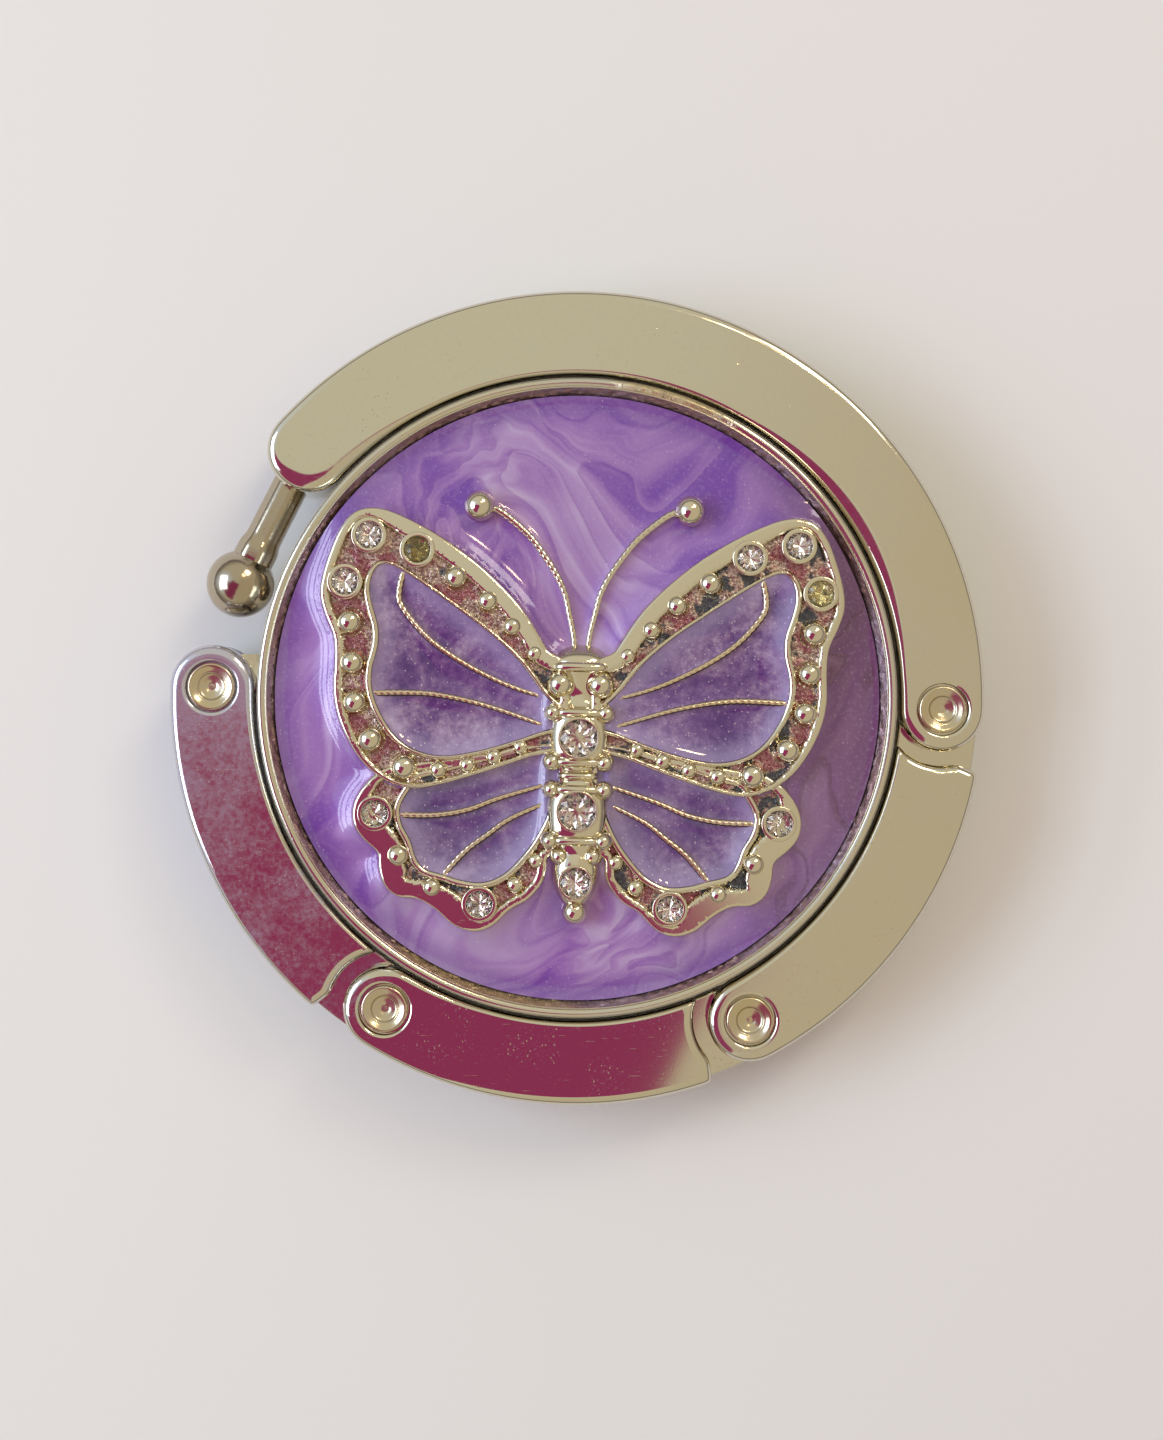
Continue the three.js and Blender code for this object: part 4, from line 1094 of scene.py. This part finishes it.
def notched_wire(bm, line, level, first_radius, last_radius, depth):
    """A wire laid along a line of points, with slanting notches cut round it."""
    gaps = np.linalg.norm(np.diff(line, axis=0), axis=1)
    walked = np.concatenate([[0], np.cumsum(gaps)])
    count = max(8, int(walked[-1] / wire_step))
    at = np.linspace(0, walked[-1], count)
    xs = np.interp(at, walked, line[:, 0])
    ys = np.interp(at, walked, line[:, 1])
    rings = []
    for i in range(count):
        j, k = max(0, i - 1), min(count - 1, i + 1)
        along = Vector((xs[k] - xs[j], ys[k] - ys[j], 0)).normalized()
        across = Vector((along.y, -along.x, 0))
        radius = first_radius + (last_radius - first_radius) * i / (count - 1)
        ring = []
        for side in range(wire_sides):
            angle = math.tau * side / wire_sides
            dip = math.cos(math.pi * at[i] / notch_spacing + angle) ** 6
            reach = radius * (1 - depth * dip)
            offset = across * math.cos(angle) * reach
            ring.append(bm.verts.new((xs[i] + offset.x, ys[i] + offset.y, level + math.sin(angle) * reach)))
        rings.append(ring)
    bridge(bm, rings)
    bm.faces.new(rings[0][::-1])
    bm.faces.new(rings[-1])


for (part, hand), (edge, cell, veins) in wing_plans.items():
    vein_mesh = bmesh.new()
    level = fill_level + vein_lift if part == "upper" else fill_level - lower_fill + vein_lift
    for vein in veins:
        notched_wire(vein_mesh, vein, level, vein_radius, vein_radius * 0.6, 0.15)
    new_piece(f"veins_{part}_{hand}", vein_mesh, vein_plate, "disc", sharp=60)

for hand, line in antenna_plans.items():
    antenna_mesh = bmesh.new()
    notched_wire(antenna_mesh, line, enamel_top + antenna_lift, antenna_radius, antenna_end_radius, 0.11)
    ball_centre = (*line[0], enamel_top + antenna_ball_radius * 0.62)
    turn(antenna_mesh, ball_profile(antenna_ball_radius), antenna_ball_sides, ball_centre)
    new_piece(f"antenna_{hand}", antenna_mesh, bright_plate, "disc", sharp=60)


# Body: the thick middle of the casting. It is a row of boxy barrels with a stone in each, a bar
# with two end balls across each waist, two lobes below the domed head, and a ball at the tail.
body_height = 1.72 * mm
body_stations = [
    (-0.800, 0.34, 0.35), (-0.785, 0.72, 0.60), (-0.75, 1.02, 0.72), (-0.71, 1.24, 0.76),
    (-0.66, 1.32, 0.76), (-0.62, 1.22, 0.74), (-0.595, 1.06, 0.70), (-0.565, 1.26, 0.74),
    (-0.54, 1.55, 0.84), (-0.50, 1.73, 0.90), (-0.43, 1.80, 0.92), (-0.38, 1.73, 0.90),
    (-0.345, 1.53, 0.84), (-0.318, 1.21, 0.72), (-0.292, 1.12, 0.66), (-0.268, 1.23, 0.72),
    (-0.245, 1.55, 0.84), (-0.21, 1.73, 0.92), (-0.154, 1.82, 0.94), (-0.10, 1.75, 0.92),
    (-0.062, 1.55, 0.84), (-0.035, 1.28, 0.64), (-0.010, 1.20, 0.54), (0.03, 1.18, 0.54),
    (0.07, 1.32, 0.66), (0.10, 1.60, 0.80), (0.125, 1.68, 0.86), (0.150, 1.58, 0.82),
    (0.172, 1.32, 0.68), (0.190, 0.94, 0.48), (0.202, 0.44, 0.24),
]
bar_places = [-0.058, -0.246, -0.350, -0.545]


def boxed(value, power):
    """A sine or cosine drawn towards 1 or -1, which makes a round section boxy."""
    return math.copysign(abs(value) ** power, value)


def boxy_spindle(bm, stations, sides=56):
    """A bar that lies along the butterfly's axis, from places, half widths in mm and heights."""
    rings = []
    for along, half_width, tall in stations:
        ring = []
        for side in range(sides):
            angle = math.tau * side / sides
            across = boxed(math.cos(angle), 0.80) * half_width * mm
            up = boxed(math.sin(angle), 0.75) * tall * body_height
            ring.append(bm.verts.new((*plan_point(across / wing_reach, along), enamel_top + up)))
        rings.append(ring)
    bridge(bm, rings, flipped=True)
    bm.faces.new(rings[0])
    bm.faces.new(rings[-1][::-1])


def arched_bar(bm, place, half_width, crest, radius, steps=24, sides=14):
    """A round bar that arches over the body from one side to the other."""
    rings = []
    for step in range(steps + 1):
        sweep = math.pi * step / steps
        ring = []
        for side in range(sides):
            angle = math.tau * side / sides
            grow = radius * math.cos(angle)
            across = boxed(math.cos(sweep), 0.6) * (half_width + grow)
            along = place + radius * math.sin(angle) / wing_reach
            up = math.sin(sweep) ** 0.5 * (crest + grow)
            ring.append(bm.verts.new((*plan_point(across / wing_reach, along), enamel_top + up)))
        rings.append(ring)
    bridge(bm, rings)


def body_balls(bm, acrosses, along, radius, height, tall=1.0):
    """Balls on the body, one at each distance across it."""
    for across in acrosses:
        centre = (*plan_point(across / wing_reach, along), enamel_top + height)
        turn(bm, ball_profile(radius, tall), 32, centre)


def both_sides(across):
    return across, -across


body_mesh = bmesh.new()
boxy_spindle(body_mesh, curve_through(np.array(body_stations), 5))
for place in bar_places:
    arched_bar(body_mesh, place, 1.28 * mm, body_height * 0.84, 0.26 * mm)
    body_balls(body_mesh, both_sides(1.46 * mm), place, 0.52 * mm, body_height * 0.66, 1.15)
arched_bar(body_mesh, 0.116, 1.38 * mm, body_height * 0.82, 0.28 * mm)
arched_bar(body_mesh, -0.298, 0.98 * mm, body_height * 0.70, 0.22 * mm)
body_balls(body_mesh, both_sides(1.10 * mm), 0.050, 0.82 * mm, body_height * 0.44, 1.15)
body_balls(body_mesh, both_sides(0.90 * mm), -0.605, 0.55 * mm, body_height * 0.44, 1.1)
body_balls(body_mesh, [0], -0.818, 0.70 * mm, body_height * 0.40)
butterfly_body = new_piece("butterfly_body", body_mesh, bright_plate, "disc")
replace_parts(butterfly_body, "butterfly")


# Stones: round-cut crystals with a foiled back, dropped into cast cups and held by the cup's
# rolled edge. Two of them have lost their foil and look brown.
bezel_wall = 0.22 * mm
body_bezel_wall = 0.11 * mm
cup_lip = 0.07 * mm
cup_rounding = 0.08 * mm
cup_sides = 48
crown_share = 0.34
girdle_share = 0.66
turn_between_stones = 0.37


def crystal_finish(name, tint, roughness):
    """Clear glass that is a little duller where it has worn."""
    material, tree, shader = finish(name, Transmission_Weight=1.0, IOR=1.58)
    wear = noise(tree, place_in_mm(tree), 2.2, 4.0)
    tree.fill(shader.inputs["Base Color"], tree.mix(wear, (*tint, 1), dimmed(tint, 0.88)))
    tree.fill(shader.inputs["Roughness"], roughness + wear.above(0.62, 0.05) * 0.10)
    return material


def foil_finish(name, tone, roughness):
    """Thin bare metal with darker patches."""
    material, tree, shader = finish(name, Metallic=1.0)
    wear = noise(tree, place_in_mm(tree), 2.0, 4.0)
    colour = tree.mix(wear.above(0.62, 0.1), (*tone, 1), dimmed(tone, 0.5))
    tree.fill(shader.inputs["Base Color"], colour)
    tree.fill(shader.inputs["Roughness"], roughness + wear * 0.12)
    return material


clear_crystal = crystal_finish("clear_crystal", (0.97, 0.95, 0.94), 0.03)
tired_crystal = crystal_finish("tired_crystal", (0.86, 0.80, 0.58), 0.10)
silver_foil = foil_finish("silver_foil", (0.90, 0.85, 0.82), 0.06)
tired_foil = foil_finish("tired_foil", (0.62, 0.55, 0.33), 0.30)
yellow_foil = foil_finish("yellow_foil", (0.90, 0.86, 0.66), 0.20)


def round_cut(bm, centre, radius, crown, depth):
    """A round-cut stone: a flat table, crown facets and a girdle, over a foiled star of facets."""
    table_ring = ring_of(bm, centre, radius * 0.50, crown, 8)
    middle = ring_of(bm, centre, radius * 0.76, crown * 0.66, 8, 0.5)
    girdle = ring_of(bm, centre, radius, 0, 16)
    low_girdle = ring_of(bm, centre, radius, -depth * 0.12, 16)
    point = bm.verts.new((centre[0], centre[1], centre[2] - depth * 0.62))
    bm.faces.new(table_ring)
    foiled = []
    for i in range(8):
        j = (i + 1) % 8
        even, odd, later = 2 * i, 2 * i + 1, (2 * i + 2) % 16
        bm.faces.new((table_ring[i], middle[i], table_ring[j]))
        bm.faces.new((table_ring[i], middle[i - 1], girdle[even], middle[i]))
        bm.faces.new((middle[i], girdle[even], girdle[odd]))
        bm.faces.new((middle[i], girdle[odd], girdle[later]))
    spokes = []
    for i in range(16):
        share, dip = ((0.46, 0.16), (0.40, 0.52))[i % 2]
        angle = math.tau * i / 16
        spokes.append(bm.verts.new((
            centre[0] + radius * share * math.cos(angle), centre[1] + radius * share * math.sin(angle),
            centre[2] - depth * dip,
        )))
    for i in range(16):
        j = (i + 1) % 16
        foiled.append(bm.faces.new((girdle[i], low_girdle[i], low_girdle[j], girdle[j])))
        foiled.append(bm.faces.new((low_girdle[i], spokes[i], low_girdle[j])))
        foiled.append(bm.faces.new((spokes[i], spokes[j], low_girdle[j])))
        foiled.append(bm.faces.new((spokes[i], point, spokes[j])))
    for face in foiled:
        face.material_index = 1
    bmesh.ops.recalc_face_normals(bm, faces=bm.faces)


stone_looks = {
    "stone_upper_left_2": (tired_crystal, tired_foil), "stone_upper_right_3": (tired_crystal, yellow_foil),
}
for number, stone in enumerate(sorted(name for name in nodes if name.startswith("stone_"))):
    low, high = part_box(stone)
    centre = (low + high) / 2
    radius = (high.x - low.x) / 2
    depth = high.z - low.z
    girdle_height = low.z + depth * girdle_share
    cup_top = girdle_height + cup_lip
    stone_mesh = bmesh.new()
    middle = (centre.x, centre.y, girdle_height)
    round_cut(stone_mesh, middle, radius, depth * crown_share, depth * girdle_share)
    bmesh.ops.rotate(
        stone_mesh, cent=(centre.x, centre.y, 0), verts=stone_mesh.verts,
        matrix=Matrix.Rotation(number * turn_between_stones, 3, "Z"),
    )
    cut_stone = new_piece(
        stone + "_cut", stone_mesh, stone_looks.get(stone, (clear_crystal, silver_foil)), "disc",
        sharp=2,
    )
    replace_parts(cut_stone, stone)
    cup_mesh = bmesh.new()
    outer = radius + (body_bezel_wall if "body" in stone else bezel_wall)
    inner = radius * 0.96
    lip = [(outer, enamel_top), (outer, cup_top), (inner, cup_top), (inner, girdle_height)]
    turn(cup_mesh, rounded(lip, cup_rounding), cup_sides, (centre.x, centre.y, 0))
    new_piece(stone + "_cup", cup_mesh, bright_plate, "disc")


# Swivel lug and washer: a flat plated eye on a round stem that passes through the drum's wall,
# with a spring-steel washer behind it. The chain hangs from it.
weld_distance = 0.0005 * mm
plating_round = 0.05 * mm
least_edge_angle = 35


def dress(node, material):
    """Gives a carried-over node its finish, and rounds its edges as plating and polishing do."""
    piece = nodes[node]
    piece.data.materials.clear()
    piece.data.materials.append(material)
    weld = piece.modifiers.new("weld", "WELD")
    weld.merge_threshold = weld_distance
    rounding = piece.modifiers.new("rounding", "BEVEL")
    rounding.width = plating_round
    rounding.segments = 2
    rounding.limit_method = "ANGLE"
    rounding.angle_limit = math.radians(least_edge_angle)
    rounding.harden_normals = True
    piece.data.shade_smooth()


chain_plate = plate_finish("chain_plate", nickel_tone, 0.09, pits=0.5, film=0.10)
worn_plate = plate_finish("worn_plate", nickel_tone, 0.05, pits=0.6, film=0.80, handled=True)
dress("swivel_lug", chain_plate)
dress("swivel_washer", foil_finish("washer_steel", (0.60, 0.60, 0.58), 0.28))


# Chain links and hook arm: curved zinc castings with bevelled edges, polished and plated. Each is
# slotted into a fork at one end. A link's tongue fits the next fork, and the arm's far end is blunt.
ring_inner = 17.97 * mm
ring_outer = 22.65 * mm
ring_pitch = (ring_inner + ring_outer) / 2
ring_end = (ring_outer - ring_inner) / 2
ring_low, ring_high = (corner.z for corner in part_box("link_1"))
tongue_low, tongue_high = 2.90 * mm, 4.40 * mm
slot_low, slot_high = 2.82 * mm, 4.48 * mm
ring_bevel = 0.48 * mm
inner_bevel = 0.24 * mm
ring_turn = 178.2
link_span = 60
hook_span = 139
opening_limit = 112
sink_radius, sink_depth, sink_rounding = 1.42 * mm, 0.5 * mm, 0.15 * mm
bore_radius = 0.9 * mm
shoulder_radius = ring_end + 0.8 * mm
slot_radius = ring_end + 0.25 * mm
stop_depth = ring_end + 0.1 * mm
core_stop = 2.28 * mm
tongue_inset, tongue_rounding, tongue_reach = 0.16 * mm, 0.12 * mm, 15
bar_spacing = 0.2 * mm
hole_spacing = 0.16 * mm
fork_wear_angle, tip_wear_angle = 16, 20
worn_middle, worn_reach = 34, 27
fork_wear, tip_wear, side_wear = 0.14 * mm, 0.22 * mm, 0.20 * mm


def towards(degrees):
    return np.array((math.cos(math.radians(degrees)), math.sin(math.radians(degrees))))


def arc(centre, radius, start, end, spacing=bar_spacing):
    """Points along an arc, from one direction to another."""
    steps = max(4, int(abs(math.radians(end - start)) * radius / spacing))
    return np.array([centre + radius * towards(start + (end - start) * k / steps) for k in range(steps + 1)])


def direction_of(vector):
    return math.degrees(math.atan2(vector[1], vector[0]))


def at_ring_edge(foot, along):
    """Where a line from a point inside the ring meets the ring's outer edge."""
    b = foot @ along
    return foot + along * (-b + math.sqrt(b * b - foot @ foot + ring_outer ** 2))


def crossing(radius):
    """The angle from a pivot to where a circle round it crosses the ring's inner edge."""
    swing = (ring_pitch ** 2 + ring_inner ** 2 - radius ** 2) / (2 * ring_pitch * ring_inner)
    return math.degrees(math.acos(swing))


def shoulder(span):
    """The hollow end of a bar round its neighbour's end: a flat stop outside, then a concave arc."""
    pivot = ring_pitch * towards(span)
    stop = towards(span - opening_limit)
    along = towards(span - opening_limit + 90)
    corner = at_ring_edge(pivot + stop * stop_depth, along)
    turned = math.sqrt(shoulder_radius ** 2 - stop_depth ** 2)
    start = direction_of(stop * stop_depth + along * turned)
    inner_corner = ring_inner * towards(span - crossing(shoulder_radius))
    end = direction_of(inner_corner - pivot)
    while end > start:
        end -= 360
    return corner, arc(pivot, shoulder_radius, start, end), inner_corner


def bar_outline(span, blunt):
    """The plan of a bar, from its fork's round end at angle 0 to its far end."""
    pivot = ring_pitch * towards(0)
    near_end = arc(pivot, ring_end, 180, 360)
    if blunt:
        outer = arc(np.zeros(2), ring_outer, 0, span)
        far_end = arc(ring_pitch * towards(span), ring_end, span, span + 180)
        inner = arc(np.zeros(2), ring_inner, span, 0)
        return evened(np.vstack([near_end, outer[1:], far_end[1:], inner[1:-1]]), bar_spacing, 1)
    corner, hollow, inner_corner = shoulder(span)
    outer = arc(np.zeros(2), ring_outer, 0, direction_of(corner))
    inner = arc(np.zeros(2), ring_inner, direction_of(inner_corner), 0)
    return evened(np.vstack([near_end, outer[1:], hollow, inner[:-1]]), bar_spacing)


def core_outline(span, blunt):
    """The plan of a bar between its slot's floor and roof, without the room that its fork leaves."""
    pivot = ring_pitch * towards(0)
    inner_start = crossing(slot_radius)
    foot = pivot + towards(opening_limit) * core_stop
    corner = at_ring_edge(foot, towards(opening_limit - 90))
    fork = arc(pivot, slot_radius, direction_of(ring_inner * towards(inner_start) - pivot), opening_limit)
    if blunt:
        outer = arc(np.zeros(2), ring_outer, direction_of(corner), span)
        far_end = arc(ring_pitch * towards(span), ring_end, span, span + 180)
        inner = arc(np.zeros(2), ring_inner, span, inner_start)
        return evened(np.vstack([fork, outer, far_end[1:], inner[1:-1]]), bar_spacing, 1)
    stop_corner, hollow, inner_corner = shoulder(span)
    outer = arc(np.zeros(2), ring_outer, direction_of(corner), direction_of(stop_corner))
    inner = arc(np.zeros(2), ring_inner, direction_of(inner_corner), inner_start)
    return evened(np.vstack([fork, outer[1:], hollow, inner[:-1]]), bar_spacing)


def slab(bm, outline, holes, low, high, top_round=0.0, bottom_round=0.0, hole_round=0.0, spread=1.0):
    """A flat slab of an outline with holes. Its edges are rounded above or below, or left square,
    and a spread of more than 1 lays a rounding back by so much."""
    spread = np.broadcast_to(spread, len(outline))
    for level, rounding, upward in ((high, top_round, True), (low, bottom_round, False)):
        rounding = np.broadcast_to(rounding, len(outline))
        extra = [np.zeros((0, 2))]
        if rounding.max() > 0:
            shares = (0.076, 0.29, 0.62, 1.0, 1.12)
            extra.append(offset_points(outline, [rounding * spread * share for share in shares]))
        if hole_round and upward:
            for hole in holes:
                extra.append(offset_points(hole, [-hole_round * share for share in (0.1, 0.4, 1.0, 1.5)]))
        extra = np.vstack(extra)
        if len(extra):
            extra = extra[inside(extra, outline)]
            for hole in holes:
                extra = extra[~inside(extra, hole)]
        places, triangles = sheet(outline, holes, extra)
        drop = np.zeros(len(places))
        if rounding.max() > 0:
            away, number = nearest_on(places, outline, True)
            drop = eased_drop(away / spread[number], rounding[number])
        if hole_round and upward:
            for hole in holes:
                drop = np.maximum(drop, eased_drop(distance_to(places, hole, True), hole_round))
        raise_sheet(bm, places, triangles, level - drop if upward else level + drop, None, upward)
    wall(bm, outline, high - top_round, low + bottom_round)
    for hole in holes:
        wall(bm, hole, high - hole_round, low, inward=True)


def circle(centre, radius):
    return evened(arc(centre, radius, 0, 360)[:-1], hole_spacing, 0)


def chain_bar(name, number, span, blunt, body, plate):
    """One bar of the chain, built at angle 0 and then turned to its place round the disc."""
    bm = bmesh.new()
    pivot = ring_pitch * towards(0)
    outline = bar_outline(span, blunt)
    sink = circle(pivot, sink_radius)
    bore = circle(pivot, bore_radius)
    inner_side = np.linalg.norm(outline, axis=1) < ring_inner + 0.1 * mm
    angles = np.degrees(np.arctan2(outline[:, 1], outline[:, 0]))
    near_fork = np.clip(1 - angles / fork_wear_angle, 0, 1)
    near_tip = np.clip(1 - (span - angles) / tip_wear_angle, 0, 1) * blunt
    from_worn = np.clip((angles - worn_middle) / worn_reach, -1, 1)
    worn_side = np.cos(from_worn * math.pi / 2) * inner_side * blunt
    worn_bevel = inner_bevel + near_fork * fork_wear + near_tip * tip_wear + worn_side * side_wear
    edge_round = eased(np.where(inner_side, worn_bevel, ring_bevel), 6)
    facing = outward(outline) @ (towards(span + 90) - towards(span)) / math.sqrt(2)
    spread = eased(1 + near_tip * np.clip(facing * 1.6 - 0.3, 0, 1) * 0.9 + worn_side * 0.9, 6)
    sink_top, sink_bottom = ring_high - sink_depth, ring_low + sink_depth
    slab(bm, outline, [sink], sink_top, ring_high, edge_round, 0.0, sink_rounding, spread)
    slab(bm, outline, [bore], slot_high, sink_top)
    slab(bm, core_outline(span, blunt), [], slot_low, slot_high)
    slab(bm, outline, [bore], sink_bottom, slot_low)
    slab(bm, outline, [sink], ring_low, sink_bottom, 0.0, edge_round)
    if not blunt:
        far = ring_pitch * towards(span)
        strip = np.vstack([
            arc(np.zeros(2), ring_outer - tongue_inset, span - tongue_reach, span),
            arc(far, ring_end - tongue_inset, span, span + 180)[1:],
            arc(np.zeros(2), ring_inner + tongue_inset, span, span - tongue_reach)[1:],
        ])
        tongue = evened(strip, bar_spacing, 1)
        hole = circle(far, bore_radius)
        slab(bm, tongue, [hole], tongue_low, tongue_high, tongue_rounding, tongue_rounding)
    turned = Matrix.Rotation(math.radians(ring_turn + number * link_span), 3, "Z")
    bmesh.ops.rotate(bm, cent=(0, 0, 0), matrix=turned, verts=bm.verts)
    piece = new_piece(name + "_cast", bm, plate, body, sharp=50)
    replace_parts(piece, name)


chain_bar("link_1", 0, link_span, False, "first_link", worn_plate)
chain_bar("link_2", 1, link_span, False, "second_link", worn_plate)
chain_bar("link_3", 2, link_span, False, "third_link", chain_plate)
chain_bar("hook_arm", 3, hook_span, True, "hook", chain_plate)


# Rivets: plated steel rivets, spread in the forks with a spinning tool that leaves a round dimple.
# Each turns with its own link.
rivet_plate = plate_finish("rivet_plate", (0.64, 0.55, 0.36), 0.18, pits=0.6, cast=0.15, film=0.3)
head_growth = 0.06 * mm
rivet_rounding = 0.07 * mm
rivet_sides = 64
rivet_top = [
    (1, 0.07), (0.93, 0), (0.84, 0.02), (0.66, 0.14), (0.60, 0.15), (0.50, 0.28), (0.28, 0.33),
    (0.16, 0.39), (0, 0.37),
]
rivet_bodies = {"rivet_1": "first_link", "rivet_2": "second_link", "rivet_3": "third_link", "rivet_4": "hook"}
for rivet, body in rivet_bodies.items():
    low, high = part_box(rivet)
    centre = (low + high) / 2
    head = (high.x - low.x) / 2 + head_growth
    shaft = head * 0.65
    neck_low, neck_high = low.z + sink_depth, high.z - sink_depth
    profile = [(0, low.z), (head, low.z), (head, neck_low), (shaft, neck_low), (shaft, neck_high)]
    profile.append((head, neck_high))
    profile += [(head * share, high.z - drop * mm) for share, drop in rivet_top]
    rivet_mesh = bmesh.new()
    turn(rivet_mesh, rounded(profile, rivet_rounding), rivet_sides, (centre.x, centre.y, 0))
    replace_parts(new_piece(rivet + "_turned", rivet_mesh, rivet_plate, body), rivet)


# Ball pin: a turned steel pin with a ball end, pressed into the hook arm's end and plated with it.
# Its neck keeps the flats it was dressed with, and swells a little towards the ball.
pin_pitch = 20.1 * mm
pin_radius = 1.10 * mm
pin_ball_radius = 1.9 * mm
pin_tail = 1.6 * mm
pin_rounding = 0.4 * mm
pin_sides = 56
ball_angle = 24
pin_span = 16.6
neck_share, neck_end = 0.98, 0.80
pin_shares = [(0.94, 0.52), (1.08, 0.60), (1.08, 0.74), (neck_share, neck_end)]
ball_steps = 32
half_flat = 22.5
flat_depth = 0.055
arm_end = ring_turn + 3 * link_span + hook_span
ball_place = pin_pitch * towards(arm_end + ball_angle)
pin_root = pin_pitch * towards(arm_end + ball_angle - pin_span)
pin_length = np.linalg.norm(ball_place - pin_root)
pin_outline = [(0, -pin_tail), (pin_radius * 0.94, -pin_tail)]
pin_outline += [(pin_radius * share, pin_length * along) for share, along in pin_shares]
pin_profile = rounded(pin_outline, pin_rounding, 5)
neck_angle = math.asin(pin_radius * neck_share / pin_ball_radius)
for step in range(ball_steps + 1):
    angle = neck_angle + (math.pi - neck_angle) * step / ball_steps
    pin_profile.append((
        max(0.0, pin_ball_radius * math.sin(angle)), pin_length - pin_ball_radius * math.cos(angle),
    ))
pin_mesh = bmesh.new()
turn(pin_mesh, pin_profile, pin_sides, (0, 0, 0))
for vert in pin_mesh.verts:
    reach = math.hypot(vert.co.x, vert.co.y)
    if reach > 1e-6 and vert.co.z < pin_length * neck_end:
        around = (math.degrees(math.atan2(vert.co.y, vert.co.x)) + half_flat) % (2 * half_flat) - half_flat
        flat = 1 - flat_depth * (1 - abs(around) / half_flat)
        vert.co.x *= flat
        vert.co.y *= flat
along_pin = Vector((*(ball_place - pin_root) / pin_length, 0))
pin_place = Vector((*pin_root, swivel_height))
frame_of_pin = along_pin.to_track_quat("Z", "Y").to_matrix()
for vert in pin_mesh.verts:
    vert.co = pin_place + frame_of_pin @ vert.co
pin_plate = plate_finish("pin_plate", (0.49, 0.42, 0.31), 0.13, pits=0.8, cast=0.2, film=0.1)
pin = new_piece("pin_turned", pin_mesh, pin_plate, "hook", sharp=60)
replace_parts(pin, "ball_pin")
